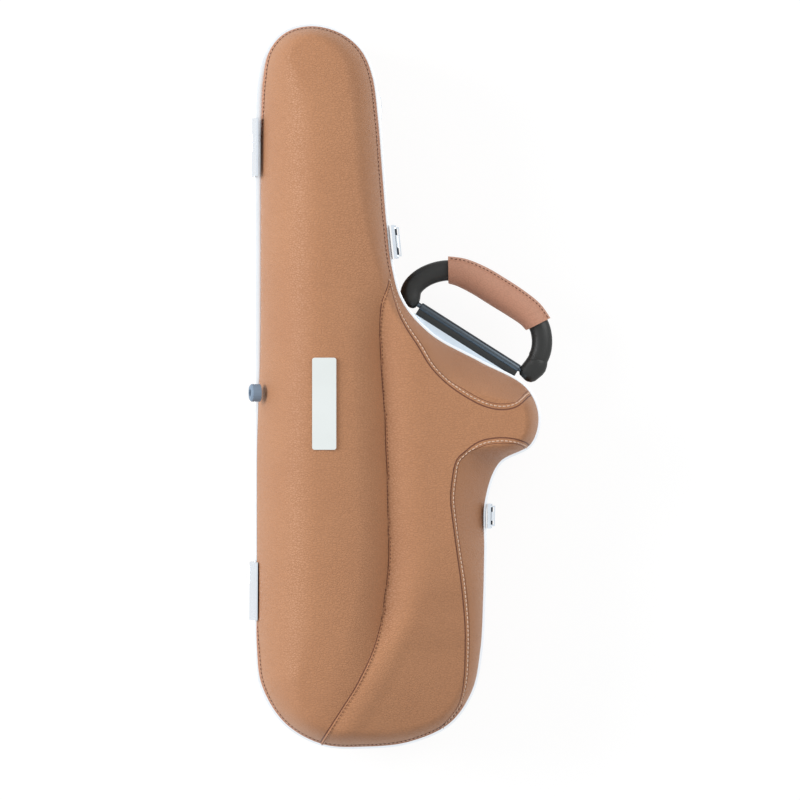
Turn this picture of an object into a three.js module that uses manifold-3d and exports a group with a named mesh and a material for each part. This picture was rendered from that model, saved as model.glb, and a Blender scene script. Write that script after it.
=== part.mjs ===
// A shaped hard case for an alto saxophone, lying on its back with the lid up.
// Millimetres, +Z up, +Y towards the neck end, the hinged spine on -X. The origin is on the flat back.

import * as THREE from 'three';
import { mergeVertices } from 'three/addons/utils/BufferGeometryUtils.js';
import Module from 'manifold-3d';

const wasm = await Module();
wasm.setup();

// Overall sizes
const caseLength = 647;
const caseWidth = 253;
const seamHeight = 88;
const lidDepth = 86;
const wallReach = 40;
const spineX = -caseWidth / 2;
const crestY = caseLength / 2;

// Thickness of the layers, from the outside in
const coverThickness = 1.6;
const shellThickness = 3;
const liningThickness = 8;
const layerGap = 0.3;
const seatGap = 0.3;
const partingGap = 0.3;
const cutOverrun = 6;
const mergeReach = 0.001;

// Metal belt on each rim, and the seal between them
const beltHeight = 7;
const beltProud = 2.2;
const beltInside = 5;
const sealWidth = 2.2;
const sealHeight = 1.8;
const liningSetback = 1.2;

// Crown of the lid: it falls to the neck end, a little to the foot end, and across the body tube
const neckFallShare = 0.24;
const neckFallEndShare = 0.5;
const footFallShare = 0.05;
const footFallStartShare = 0.8;
const tubeMiddleShare = 0.225;
const tubeDome = 11;

// Valley between the body tube and the bell bulge, and the soft facet low on the bulge
const creaseDepth = 11;
const creaseReach = 28;
const bulgeRise = 8;
const bulgeReach = 34;
const bulgeFallShare = 0.09;
const bulgeFallStart = 20;
const creaseStartShares = [0.33, 0.46];
const creaseEndShares = [0.8, 0.92];
const creaseEndFlatShare = 0.8;
const facetSlopeShare = 0.28;
const facetSoftness = 4;
const facetStartShares = [0.68, 0.82];

// Cross-section of the walls: a round corner, or a nearly straight slope on the two crescent panels
const roundBluntnessShare = 2.2;
const slopeBluntnessShare = 1.3;
const handleCrescentShares = [7.6, 11.2];
const baseShoulderShares = [6.2, 11.4];
const baseWallGrowthShare = 1.4;
const baseWallLimit = 32;
const sideCrescentShares = [13.3, 19.6];
const crescentFadeShare = 0.8;

// Gap between leather panels, and the steps of its line over one for each mark
const panelGap = 0.6;
const seamExtraSteps = 4;
const backPanelHeight = 12;

// Nameplate on the body tube, left bare
const plateWidth = 21.5;
const plateLength = 82;
const plateThickness = 1.2;
const plateCorner = 2;
const plateMiddleShares = [0.242, 0.524];

// Hinges on the spine
const hingeShares = [0.168, 0.784];
const hingeNames = ['upper', 'lower'];
const hingeReaches = [4.6, 6.9];
const hingeLength = 52;
const hingeKnuckleOffsets = [4, 15];
const knuckleRadius = 2.1;
const knuckleBore = 1.3;
const hingePinRadius = 1;
const hingePinHead = 1.6;
const hingePinHeadLength = 0.8;
const knuckleLength = 4.4;
const knuckleGap = 0.3;
const leafInset = 0.5;
const leafSetIn = 0.3;
const leafThickness = 1.6;
const leafFold = 2.7;
const leafReach = 26;
const leafBendAbove = 2;

// Feet on the spine wall, one on each half
const footShare = 0.509;
const footRadius = 8;
const footHeight = 9;
const footRimFall = 1.5;
const footScrewHole = 3.4;
const footScrewRadius = 3;
const footScrewDepth = 5;
const footScrewHeight = 2;
const footRise = 38;
const footSeatGap = 0.6;
const footSides = 18;

// Draw latches on the bell side
const latchShares = [0.3, 0.68];
const latchNames = ['upper', 'lower'];
const latchWidths = [30, 22];
const latchPlateThickness = 1.2;
const latchPlateDrop = 27;
const latchPlateRise = 22;
const earThickness = 1.5;
const latchGap = 0.3;
const leverLength = 20;
const leverThickness = 1;
const leverFlange = 1.3;
const leverPivotOut = 5.5;
const leverPivotDrop = 14;
const leverAboveDrop = 0.8;
const clawPivotOut = 6.8;
const clawPivotDrop = 22;
const latchPinRadius = 0.7;
const latchPinHole = 0.95;
const leverEyeRadius = 1.5;
const clawEyeRadius = 1.5;
const clawThickness = 1;
const clawWidthShare = 0.42;
const clawTopRise = 16;
const clawNoseHeight = 2.5;
const catchRidgeOut = 1.8;
const catchRidgeHeight = 2.5;
const catchNoseGap = 0.4;
const beltSampleShares = [0, 0.125, 0.25, 0.375, 0.5, 0.625, 0.75, 0.875, 1];

// Carrying handle on the shoulder of the bell side
const handleSpanShares = [8.3, 10.614];
const handleShift = 4.53;
const handleHubGap = 0.725;
const hubSearchShares = [5, 10];
const hubSearchSteps = 20;
const handleAxisHeight = 60;
const handleAxisOut = 1.2;
const axleRadius = 2.2;
const axleBore = 2.5;
const barrelRadius = 3.6;
const barrelEnds = [-53, 52.4];
const mountBarOut = [-7.4, -3.2];
const mountBarDrop = 10;
const mountBarRise = 4;
const hubRadius = 6.2;
const leftHub = [-71, -58.5];
const rightHub = [53.2, 69];
const loopHalfWidth = 8.3;
const loopHalfHeight = 6.2;
const legJointOut = 15;
const legJointGap = 0.3;
const gripRadius = 13.2;
const gripSlack = 0.3;
const loopSides = 10;
const loopSteps = 22;
const gripSides = 12;
const gripSteps = 7;
const pinSides = 8;
const axleSides = 12;
const saddleBottom = 50;
const saddleEnds = [-57, 62];
const saddleOuterEdge = -7.7;
const saddleShoulderU = 55;
const saddleTipOut = -9.3;
const saddleReach = 30;
const handleHalfLength = 68;
const handleReach = 49.6;
const loopShares = [
  [-0.949, 0.024], [-1, 0.2], [-0.978, 0.403], [-0.89, 0.625], [-0.735, 0.833], [-0.559, 0.94], [-0.294, 0.992],
  [-0.03, 1], [0.265, 1], [0.5, 0.976], [0.676, 0.891], [0.809, 0.718], [0.891, 0.504], [0.912, 0.282],
  [0.897, 0.024],
];
const gripShares = [
  [-0.728, 0.851], [-0.559, 0.94], [-0.294, 0.992], [-0.03, 1], [0.265, 1], [0.5, 0.976], [0.669, 0.899],
];

// Shoulder-strap brackets and rings on the back half, either side of the neck
const strapNames = ['left', 'right'];
const strapSides = [-1, 1];
const strapShares = [0.1, 0.106];
const strapHeight = 36;
const strapSeatGaps = [-0.5, 0.3];
const strapPlateLength = 24;
const strapPlateHeight = 16;
const strapPlateThickness = 1.5;
const strapEyeRadius = 2.6;
const strapEyeBore = 1.7;
const strapEyeLength = 14;
const ringWire = 1.4;
const ringWidth = 24;
const ringDrop = 20;
const ringSides = 6;
const ringSteps = 12;
const ringShares = [[0.9, 0], [1, 0], [1, 0.35], [0.62, 0.8], [0, 1]];

// Foam cradle: depth of its floor, and the corner radius of its recesses
const cradleFloor = 20;
const cradleSetback = 1.6;
const accessoryFloor = 34;
const recessRound = 14;
const recessCornerShare = 0.45;

// Outline marks: share of the width from the spine, of the length from the neck end, and of the wall reach
const neckEndShares = [0.199, 0, 0.36];
const spineShares = [
  [0.107, 0.008, 0.4], [0.039, 0.035, 0.52], [0.009, 0.074, 0.7], [0.002, 0.129, 0.9], [0, 0.192, 0.95],
  [0, 0.261, 0.95], [0, 0.324, 0.95], [0, 0.38, 0.95], [0, 0.428, 0.95], [0, 0.47, 0.95], [0, 0.508, 0.95],
  [0, 0.544, 0.95], [0, 0.579, 0.95], [0, 0.616, 0.95], [0, 0.665, 0.95], [0, 0.727, 0.95], [0, 0.797, 0.95],
  [0, 0.86, 0.9], [0.018, 0.915, 0.75], [0.1, 0.967, 0.6], [0.231, 0.996, 0.5],
];
const footEndShares = [0.384, 1, 0.45];
const bellShares = [
  [0.299, 0.01, 0.36], [0.37, 0.033, 0.38], [0.409, 0.067, 0.42], [0.431, 0.129, 0.46], [0.445, 0.199, 0.46],
  [0.461, 0.275, 0.46], [0.48, 0.335, 0.36], [0.516, 0.382, 0.34], [0.616, 0.427, 0.45], [0.794, 0.466, 0.8],
  [0.957, 0.502, 0.38], [1, 0.54, 0.34], [0.975, 0.579, 0.32], [0.861, 0.606, 0.58], [0.811, 0.658, 0.72],
  [0.808, 0.727, 0.56], [0.804, 0.797, 0.42], [0.794, 0.866, 0.36], [0.765, 0.922, 0.34], [0.687, 0.967, 0.34],
  [0.544, 0.993, 0.38],
];

// Seams on the lid, as shares of the width and the length
const creaseShares = [
  [0.48, 0.28], [0.474, 0.335], [0.466, 0.36], [0.443, 0.387], [0.438, 0.419], [0.438, 0.446], [0.445, 0.487],
  [0.454, 0.537], [0.458, 0.588], [0.463, 0.625], [0.467, 0.693], [0.467, 0.743], [0.454, 0.794],
  [0.444, 0.82], [0.412, 0.865], [0.357, 0.911], [0.308, 0.942], [0.236, 0.986], [0.19, 1.02],
];
const handleSeamShares = [
  [0.43, 0.31], [0.475, 0.357], [0.5, 0.395], [0.53, 0.419], [0.573, 0.445], [0.617, 0.473], [0.677, 0.497],
  [0.747, 0.516], [0.811, 0.528], [0.868, 0.532], [0.92, 0.528], [0.967, 0.513], [1.03, 0.49],
];
const sideSeamShares = [
  [1.05, 0.6], [0.975, 0.582], [0.918, 0.573], [0.855, 0.571], [0.79, 0.576], [0.738, 0.59], [0.706, 0.604],
  [0.692, 0.632], [0.688, 0.66], [0.7, 0.7], [0.712, 0.735], [0.726, 0.776], [0.738, 0.827], [0.739, 0.868],
  [0.735, 0.904], [0.72, 0.936], [0.687, 0.957], [0.64, 0.975], [0.58, 0.99], [0.55, 1.03],
];
// Corners outside the case that close each seam into the region of its panel
const creaseClosingShares = [[-0.2, 1.1], [-0.2, -0.1], [1.2, -0.1], [1.2, 0.28]];
const handleClosingShares = [[1.2, 0.49], [1.2, 0.2], [0.43, 0.2]];
const sideClosingShares = [[1.2, 1.1], [1.2, 0.6]];

// Ridge of the facet that falls to the bell side
const facetShares = [
  [0.7, 0.66], [0.616, 0.719], [0.584, 0.776], [0.562, 0.796], [0.53, 0.828], [0.489, 0.849], [0.434, 0.87],
  [0.38, 0.91], [0.32, 0.955], [0.27, 0.99],
];

// Recesses of the cradle, as shares of the width and the length
const bodyRecessShares = [
  [0.1, 0.19], [0.34, 0.19], [0.36, 0.34], [0.4, 0.44], [0.41, 0.72], [0.41, 0.93], [0.12, 0.93], [0.08, 0.6],
];
const bellRecessShares = [
  [0.5, 0.53], [0.62, 0.5], [0.8, 0.53], [0.88, 0.56], [0.74, 0.62], [0.72, 0.9], [0.62, 0.93], [0.49, 0.93],
];
const bowRecessShares = [[0.3, 0.8], [0.6, 0.8], [0.6, 0.93], [0.3, 0.93]];
const accessoryRecessShares = [[0.12, 0.06], [0.28, 0.06], [0.31, 0.16], [0.09, 0.16]];

// Where the rows of the shell lie between the outline marks, and how far in each wall level is
const rowShares = [
  0, 0.5, 1, 1.6, 2.3, 3.1, 4.2, 5.8, 7.3, 8.1, 8.7, 9.3, 9.9, 10.5, 11, 11.5, 12, 12.5, 13, 13.6, 14.4, 15,
  15.6, 17.2, 18.3, 19, 19.6, 20.2, 20.8, 21.4, 22,
];
const wallLevelShares = [0, 0.1, 0.42, 1];
const tubeColumnShares = [0, 0.25, 0.5, 0.82, 1];
const bulgeColumnShares = [0.35, 1];
const idleCreaseShare = 0.8;
const creaseEdgeShare = 0.06;
const facetLimitShare = 30;

// Finishes
const leather = { color: 0xb5835f, roughness: 0.62, metalness: 0 };
const hardShell = { color: 0x3a3735, roughness: 0.6, metalness: 0 };
const plush = { color: 0x2c2a2d, roughness: 0.95, metalness: 0 };
const aluminium = { color: 0xcfd6dc, roughness: 0.3, metalness: 0.9 };
const bright = { color: 0xd5dade, roughness: 0.22, metalness: 1 };
const plateFinish = { color: 0xe8ece8, roughness: 0.35, metalness: 0.4 };
const blackPlastic = { color: 0x2c302e, roughness: 0.45, metalness: 0 };
const rubber = { color: 0x70808c, roughness: 0.75, metalness: 0 };
const darkRubber = { color: 0x1b1b1c, roughness: 0.85, metalness: 0 };
const gunmetal = { color: 0x58606c, roughness: 0.35, metalness: 0.9 };

// Small helpers

function smooth(from, to, value) {
  const share = Math.min(1, Math.max(0, (value - from) / (to - from)));
  return share * share * (3 - 2 * share);
}

function planX(share) {
  return spineX + share * caseWidth;
}

function planY(share) {
  return crestY - share * caseLength;
}

function planPoints(shares) {
  return shares.map(([across, along]) => new THREE.Vector2(planX(across), planY(along)));
}

// A closed body from points and triangles: coinciding points are joined and the faces turned outwards
function closedGeometry(points, triangles) {
  const raw = new THREE.BufferGeometry();
  raw.setAttribute('position', new THREE.Float32BufferAttribute(points.flatMap((p) => p.toArray()), 3));
  raw.setIndex(triangles.flat());
  const joined = mergeVertices(raw, mergeReach);
  const index = Array.from(joined.index.array);
  const place = joined.attributes.position;
  const kept = [];
  let volume = 0;
  for (let i = 0; i < index.length; i += 3) {
    const [a, b, c] = index.slice(i, i + 3);
    if (a === b || b === c || c === a) continue;
    kept.push([a, b, c]);
    const [pa, pb, pc] = [a, b, c].map((v) => new THREE.Vector3().fromBufferAttribute(place, v));
    volume += pa.dot(pb.cross(pc));
  }
  joined.setIndex(kept.flatMap(([a, b, c]) => (volume < 0 ? [a, c, b] : [a, b, c])));
  joined.computeVertexNormals();
  return joined;
}

function solidOf(geometry) {
  const bare = geometry.clone();
  bare.deleteAttribute('normal');
  bare.deleteAttribute('uv');
  const joined = mergeVertices(bare, mergeReach);
  return new wasm.Manifold(new wasm.Mesh({
    numProp: 3,
    vertProperties: new Float32Array(joined.attributes.position.array),
    triVerts: new Uint32Array(joined.index.array),
  }));
}

function geometryOf(solid) {
  const mesh = solid.getMesh();
  const geometry = new THREE.BufferGeometry();
  geometry.setAttribute('position', new THREE.BufferAttribute(new Float32Array(mesh.vertProperties), 3));
  geometry.setIndex(new THREE.BufferAttribute(new Uint32Array(mesh.triVerts), 1));
  geometry.computeVertexNormals();
  return geometry;
}

function joinAll(geometries) {
  const [first, ...rest] = geometries.map(solidOf);
  return geometryOf(rest.reduce((whole, next) => whole.add(next), first));
}

function cutAll(geometry, cutters) {
  const whole = cutters.reduce((left, cutter) => left.subtract(solidOf(cutter)), solidOf(geometry));
  return geometryOf(whole);
}

function addPiece(group, name, geometry, finish) {
  const mesh = new THREE.Mesh(geometry, new THREE.MeshStandardMaterial(finish));
  mesh.name = name;
  group.add(mesh);
  return mesh;
}

// A prism standing on a plan outline
function standing(points, low, high) {
  const geometry = new THREE.ExtrudeGeometry(new THREE.Shape(points), { depth: high - low, bevelEnabled: false });
  return geometry.translate(0, 0, low);
}

// A bar whose section is drawn in X and Z, running along Y about the middle
function barAlongY(section, length) {
  const shape = new THREE.Shape(section.map(([x, z]) => new THREE.Vector2(x, z)));
  const geometry = new THREE.ExtrudeGeometry(shape, { depth: length, bevelEnabled: false });
  return geometry.rotateX(Math.PI / 2).translate(0, length / 2, 0);
}

function rodAlongY(radius, length, x, z, sides) {
  return new THREE.CylinderGeometry(radius, radius, length, sides).translate(x, 0, z);
}

function boxBetween(low, high) {
  const size = high.map((value, axis) => value - low[axis]);
  const middle = high.map((value, axis) => (value + low[axis]) / 2);
  return new THREE.BoxGeometry(...size).translate(...middle);
}

function roundedShape(width, height, radius, steps) {
  const shape = new THREE.Shape();
  const corners = [[1, 1], [-1, 1], [-1, -1], [1, -1]];
  const points = corners.flatMap(([sx, sy], corner) => {
    return Array.from({ length: steps + 1 }, (_, i) => {
      const angle = (corner + i / steps) * Math.PI / 2;
      const x = sx * (width / 2 - radius) + radius * Math.cos(angle);
      return new THREE.Vector2(x, sy * (height / 2 - radius) + radius * Math.sin(angle));
    });
  });
  shape.setFromPoints(points);
  return shape;
}

// The outline of the case: one closed curve, whose third coordinate carries the width of the wall
const outlineMarks = [neckEndShares, ...spineShares, footEndShares, ...[...bellShares].reverse()];
const outlineCurve = new THREE.CatmullRomCurve3(
  outlineMarks.map(([across, along, wall]) => new THREE.Vector3(planX(across), planY(along), wall * wallReach)),
  true,
  'centripetal',
);
const markCount = outlineMarks.length;
const tangentShare = 0.02;

// A place on the outline: side -1 is the spine, side 1 the bell side, and the place counts marks from the neck end
function outlineAt(side, place) {
  const mark = side < 0 ? place : markCount - place;
  const point = (shift) => outlineCurve.getPoint((((mark + shift) / markCount) + 1) % 1);
  const here = point(0);
  const along = point(tangentShare).sub(point(-tangentShare));
  const inward = new THREE.Vector2(-along.y, along.x).normalize();
  return { x: here.x, y: here.y, wall: here.z, inward };
}

function offsetAt(side, place, inset) {
  const at = outlineAt(side, place);
  return new THREE.Vector2(at.x + inset * at.inward.x, at.y + inset * at.inward.y);
}

// The place on one side that lies at a share of the length
function placeOf(side, share) {
  let low = 0;
  let high = markCount / 2;
  while (high - low > tangentShare) {
    const middle = (low + high) / 2;
    if (outlineAt(side, middle).y > planY(share)) low = middle;
    else high = middle;
  }
  return (low + high) / 2;
}

// A seam as a function of the length: the place across the case at a given y
function acrossAt(shares) {
  const curve = new THREE.SplineCurve(planPoints(shares));
  const points = curve.getPoints(shares.length * 4);
  return (y) => {
    const after = points.findIndex((point) => point.y <= y);
    if (after === 0) return points[0].x;
    if (after < 0) return points[points.length - 1].x;
    const [upper, lower] = [points[after - 1], points[after]];
    return lower.x + (upper.x - lower.x) * (y - lower.y) / (upper.y - lower.y);
  };
}

const creaseX = acrossAt(creaseShares);
const facetX = acrossAt(facetShares);

// Height of the lid's face over the parting plane's datum
function lidFace(x, y) {
  const along = (crestY - y) / caseLength;
  const neckRest = Math.max(0, 1 - along / neckFallEndShare);
  const footRest = Math.max(0, (along - footFallStartShare) / (1 - footFallStartShare));
  const crown = seamHeight + lidDepth * (1 - neckFallShare * neckRest ** 2 - footFallShare * footRest ** 2);
  const fade = smooth(...creaseStartShares, along);
  const beyond = x - creaseX(y);
  const domeX = fade > 0 ? Math.min(x, creaseX(y)) : x;
  const dome = tubeDome * ((domeX - planX(tubeMiddleShare)) / (tubeMiddleShare * caseWidth)) ** 2;
  const valley = beyond < 0 ? Math.max(0, 1 + beyond / creaseReach) ** 2 : 1;
  const rise = beyond > 0 ? 1 - Math.max(0, 1 - beyond / bulgeReach) ** 2 : 0;
  const downhill = Math.max(0, beyond - bulgeFallStart);
  const fall = bulgeFallShare * downhill ** 2 / (downhill + bulgeFallStart);
  const facetFade = smooth(...facetStartShares, along);
  const past = (x - facetX(y)) / facetSoftness;
  const facet = facetSlopeShare * facetSoftness * Math.log(1 + Math.exp(Math.min(past, facetLimitShare)));
  const depth = 1 - creaseEndFlatShare * smooth(...creaseEndShares, along);
  const drop = fade * (depth * (creaseDepth * valley - bulgeRise * rise) + fall);
  return crown - dome - drop - (beyond > 0 ? facetFade * facet * smooth(0, bulgeReach, beyond) : 0);
}

function crescentShare(side, place, [from, to]) {
  if (side < 0) return 0;
  const entering = smooth(from, from + crescentFadeShare, place);
  return entering * (1 - smooth(to - crescentFadeShare, to, place));
}

const lidHalf = {
  wallWidth: (wall) => wall,
  columns: [...tubeColumnShares, ...bulgeColumnShares.map((share) => 1 + share)],
  rim: seamHeight + partingGap + beltHeight + seatGap,
  turn: 1,
  face: lidFace,
  bluntness: (side, place) => {
    const crescents = [handleCrescentShares, sideCrescentShares];
    const slope = crescents.reduce((sum, span) => sum + crescentShare(side, place, span), 0);
    return roundBluntnessShare - (roundBluntnessShare - slopeBluntnessShare) * slope;
  },
};

const baseHalf = {
  wallWidth: (wall) => Math.min(Math.max(wall, baseWallLimit), wall * baseWallGrowthShare),
  columns: [0, 1, 2],
  rim: seamHeight - beltHeight - seatGap,
  turn: -1,
  face: () => 0,
  bluntness: (side, place) => {
    const slope = crescentShare(side, place, baseShoulderShares);
    return roundBluntnessShare - (roundBluntnessShare - slopeBluntnessShare) * slope;
  },
};

function wallRise(share, bluntness) {
  return (1 - (1 - share) ** bluntness) ** (1 / bluntness);
}

// How far in from the outline the outside of a half lies at a given height
function wallInset(half, side, place, z) {
  const at = outlineAt(side, place);
  const width = half.wallWidth(at.wall);
  const top = offsetAt(side, place, width);
  const rise = Math.max(0, (z - half.rim) / (half.face(top.x, top.y) - half.rim));
  const bluntness = half.bluntness(side, place);
  return width * (1 - (1 - rise ** bluntness) ** (1 / bluntness));
}

// A closed dome over one half, set in by the thickness of the layers outside it
function halfSolid(half, inset, reach) {
  const points = [];
  const lines = rowShares.map((place) => {
    const wallLine = (side) => {
      const at = outlineAt(side, place);
      const width = Math.max(half.wallWidth(at.wall), inset + coverThickness);
      const top = offsetAt(side, place, width);
      const height = half.face(top.x, top.y) - half.turn * inset - half.rim;
      const bluntness = half.bluntness(side, place);
      const line = wallLevelShares.map((share) => {
        const plan = offsetAt(side, place, inset + share * (width - inset));
        return new THREE.Vector3(plan.x, plan.y, half.rim + height * wallRise(share, bluntness));
      });
      const foot = line[0].clone();
      foot.z = half.rim - half.turn * reach;
      return [foot, ...line];
    };
    const left = wallLine(-1);
    const right = wallLine(1);
    const start = left[left.length - 1];
    const end = right[right.length - 1];
    const span = end.x - start.x;
    const middleY = (start.y + end.y) / 2;
    const creaseShare = span > 0 ? (creaseX(middleY) - start.x) / span : idleCreaseShare;
    const turning = Math.min(1 - creaseEdgeShare, Math.max(creaseEdgeShare, creaseShare));
    const split = creaseShare > 1 ? idleCreaseShare : turning;
    const columns = half.columns.slice(1, -1).map((column) => {
      return column <= 1 ? column * split : split + (column - 1) * (1 - split);
    });
    const across = columns.map((share) => {
      const x = start.x + share * (end.x - start.x);
      const y = start.y + share * (end.y - start.y);
      return new THREE.Vector3(x, y, half.face(x, y) - half.turn * inset);
    });
    return [...left, ...across, ...right.reverse()];
  });
  const width = lines[0].length;
  lines.forEach((line) => points.push(...line));
  const triangles = [];
  const vertex = (row, column) => row * width + column;
  for (let row = 0; row + 1 < lines.length; row += 1) {
    for (let column = 0; column + 1 < width; column += 1) {
      const [a, b] = [vertex(row, column), vertex(row, column + 1)];
      const [d, c] = [vertex(row + 1, column), vertex(row + 1, column + 1)];
      triangles.push([a, d, c], [a, c, b]);
    }
    const [a, b] = [vertex(row, 0), vertex(row, width - 1)];
    const [d, c] = [vertex(row + 1, 0), vertex(row + 1, width - 1)];
    triangles.push([a, c, d], [a, b, c]);
  }
  return closedGeometry(points, triangles);
}

// A skin between two insets, open at the rim
function skin(half, outer, inner, reach) {
  return cutAll(halfSolid(half, outer, reach), [halfSolid(half, inner, reach + cutOverrun)]);
}

// Places once round the outline, down the spine and back up the bell side
const stations = [
  ...rowShares.map((place) => [-1, place]),
  ...[...rowShares].reverse().slice(1, -1).map((place) => [1, place]),
];

// A ring that follows the outline, with its section drawn as distance outwards and height
function outlineRing(section) {
  const points = stations.flatMap(([side, place]) => section.map(([out, z]) => {
    const plan = offsetAt(side, place, -out);
    return new THREE.Vector3(plan.x, plan.y, z);
  }));
  const around = section.length;
  const triangles = stations.flatMap((_, station) => {
    const next = (station + 1) % stations.length;
    return section.flatMap((__, corner) => {
      const turned = (corner + 1) % around;
      const [a, b] = [station * around + corner, station * around + turned];
      const [d, c] = [next * around + corner, next * around + turned];
      return [[a, b, c], [a, c, d]];
    });
  });
  return closedGeometry(points, triangles);
}

function seamLine(shares) {
  return new THREE.SplineCurve(planPoints(shares)).getPoints(shares.length + seamExtraSteps);
}

// A thin wall standing on a seam, which cuts the gap between two panels
function seamWall(shares, low, high) {
  const line = seamLine(shares);
  const offset = (distance) => line.map((point, i) => {
    const before = line[Math.max(0, i - 1)];
    const after = line[Math.min(line.length - 1, i + 1)];
    const along = after.clone().sub(before).normalize();
    return new THREE.Vector2(point.x - along.y * distance, point.y + along.x * distance);
  });
  return standing([...offset(panelGap / 2), ...offset(-panelGap / 2).reverse()], low, high);
}

// The plan region on one side of a seam, closed by far corners outside the case
function seamRegion(shares, cornerShares, low, high) {
  return standing([...seamLine(shares), ...planPoints(cornerShares)], low, high);
}

const lid = new THREE.Group();
const base = new THREE.Group();
const caseGroup = new THREE.Group();
caseGroup.add(base, lid);

// Layers of each half, from the outside in
const shellOuter = coverThickness + layerGap;
const shellInner = shellOuter + shellThickness;
const liningOuter = beltInside + layerGap;
const liningInner = liningOuter + liningThickness;
const aboveAll = seamHeight + lidDepth + cutOverrun;
const belowAll = -cutOverrun;

function buildLidSkins() {
  const cover = skin(lidHalf, 0, coverThickness, 0);
  const low = lidHalf.rim - cutOverrun;
  const seamTables = [creaseShares, handleSeamShares, sideSeamShares];
  const closings = [creaseClosingShares, handleClosingShares, sideClosingShares];
  const seams = seamTables.map((shares) => seamWall(shares, low, aboveAll));
  const parted = solidOf(cutAll(cover, seams));
  const [bodySide, handleSide, farSide] = seamTables.map((shares, i) => {
    return solidOf(seamRegion(shares, closings[i], low, aboveAll));
  });
  addPiece(lid, 'lid_cover_body', geometryOf(parted.intersect(bodySide)), leather);
  addPiece(lid, 'lid_cover_handle_side', geometryOf(parted.intersect(handleSide).subtract(bodySide)), leather);
  addPiece(lid, 'lid_cover_side', geometryOf(parted.intersect(farSide)), leather);
  const bell = parted.subtract(bodySide).subtract(handleSide).subtract(farSide);
  addPiece(lid, 'lid_cover_bell', geometryOf(bell), leather);
  addPiece(lid, 'lid_shell', skin(lidHalf, shellOuter, shellInner, 0), hardShell);
  const liningReach = lidHalf.rim - seamHeight - liningSetback;
  addPiece(lid, 'lid_lining', skin(lidHalf, liningOuter, liningInner, liningReach), plush);
}

function buildBaseSkins() {
  const cover = solidOf(skin(baseHalf, 0, coverThickness, 0));
  const far = caseLength;
  const lowSlab = solidOf(boxBetween([-far, -far, belowAll], [far, far, backPanelHeight]));
  const wallSlab = solidOf(boxBetween([-far, -far, backPanelHeight + panelGap], [far, far, aboveAll]));
  const apexX = planX(neckEndShares[0]);
  const footX = planX(footEndShares[0]);
  const spineRegion = (gap) => solidOf(standing([
    new THREE.Vector2(-far, far), new THREE.Vector2(-far, -far),
    new THREE.Vector2(footX + gap, -far), new THREE.Vector2(apexX + gap, far),
  ], belowAll, aboveAll));
  addPiece(base, 'base_cover_back', geometryOf(cover.intersect(lowSlab)), leather);
  const wall = cover.intersect(wallSlab);
  addPiece(base, 'base_cover_spine_side', geometryOf(wall.intersect(spineRegion(-panelGap / 2))), leather);
  addPiece(base, 'base_cover_bell_side', geometryOf(wall.subtract(spineRegion(panelGap / 2))), leather);
  addPiece(base, 'base_shell', skin(baseHalf, shellOuter, shellInner, 0), hardShell);
}

function recess(shares, floor) {
  const points = planPoints(shares);
  const rounded = points.flatMap((point, i) => {
    const before = points[(i + points.length - 1) % points.length];
    const after = points[(i + 1) % points.length];
    const round = Math.min(recessRound, ...[before, after].map((other) => {
      return recessCornerShare * other.distanceTo(point);
    }));
    const towards = (other) => point.clone().add(other.clone().sub(point).setLength(round));
    return new THREE.QuadraticBezierCurve(towards(before), point, towards(after)).getPoints(3);
  });
  return standing(rounded, floor, seamHeight + cutOverrun);
}

function buildCradle() {
  const reach = seamHeight - cradleSetback - baseHalf.rim;
  const block = halfSolid(baseHalf, liningOuter, reach);
  addPiece(base, 'instrument_cradle', cutAll(block, [
    recess(bodyRecessShares, cradleFloor),
    recess(bellRecessShares, cradleFloor),
    recess(bowRecessShares, cradleFloor),
    recess(accessoryRecessShares, accessoryFloor),
  ]), plush);
}

function buildBelts() {
  const low = baseHalf.rim + seatGap;
  const rebate = seamHeight - sealHeight - partingGap;
  const inner = sealWidth + 2 * partingGap - beltInside;
  addPiece(base, 'base_belt', outlineRing([
    [-beltInside, low], [beltProud, low], [beltProud, seamHeight],
    [inner, seamHeight], [inner, rebate], [-beltInside, rebate],
  ]), aluminium);
  addPiece(base, 'rim_seal', outlineRing([
    [partingGap - beltInside, rebate + partingGap], [inner - partingGap, rebate + partingGap],
    [inner - partingGap, seamHeight], [partingGap - beltInside, seamHeight],
  ]), darkRubber);
  const start = seamHeight + partingGap;
  const end = lidHalf.rim - seatGap;
  addPiece(lid, 'lid_belt', outlineRing([
    [-beltInside, start], [beltProud, start], [beltProud, end], [-beltInside, end],
  ]), aluminium);
}

function buildNameplate() {
  const [across, along] = plateMiddleShares;
  const shape = roundedShape(plateWidth, plateLength, plateCorner, 3);
  const plate = new THREE.ExtrudeGeometry(shape, { depth: plateThickness, bevelEnabled: false });
  const [x, y] = [planX(across), planY(along)];
  const crowns = [-1, 0, 1].flatMap((end) => [-1, 0, 1].map((side) => {
    return lidFace(x + side * plateWidth / 2, y + end * plateLength / 2);
  }));
  plate.translate(x, y, Math.max(...crowns) + seatGap);
  addPiece(lid, 'nameplate', plate, plateFinish);
}

// Hinges. Their shared axis leans a little from the spine, because the lower hinge stands further out
const hingeYs = hingeShares.map(planY);
const hingeLean = Math.atan2(hingeReaches[1] - hingeReaches[0], hingeYs[0] - hingeYs[1]);
const hingeAxisZ = seamHeight + partingGap / 2;

function leafSection(half, place, reachOut) {
  const turn = half.turn;
  const inner = reachOut - beltProud - leafInset;
  const bend = half.rim + turn * leafBendAbove;
  const end = half.rim + turn * leafReach;
  const wallX = reachOut + wallInset(half, -1, place, end) - leafInset;
  return [
    [inner, hingeAxisZ + turn * leafFold], [leafSetIn, hingeAxisZ + turn * leafFold],
    [leafSetIn, bend], [wallX - leafThickness, end], [wallX, end], [inner, bend],
  ];
}

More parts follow.
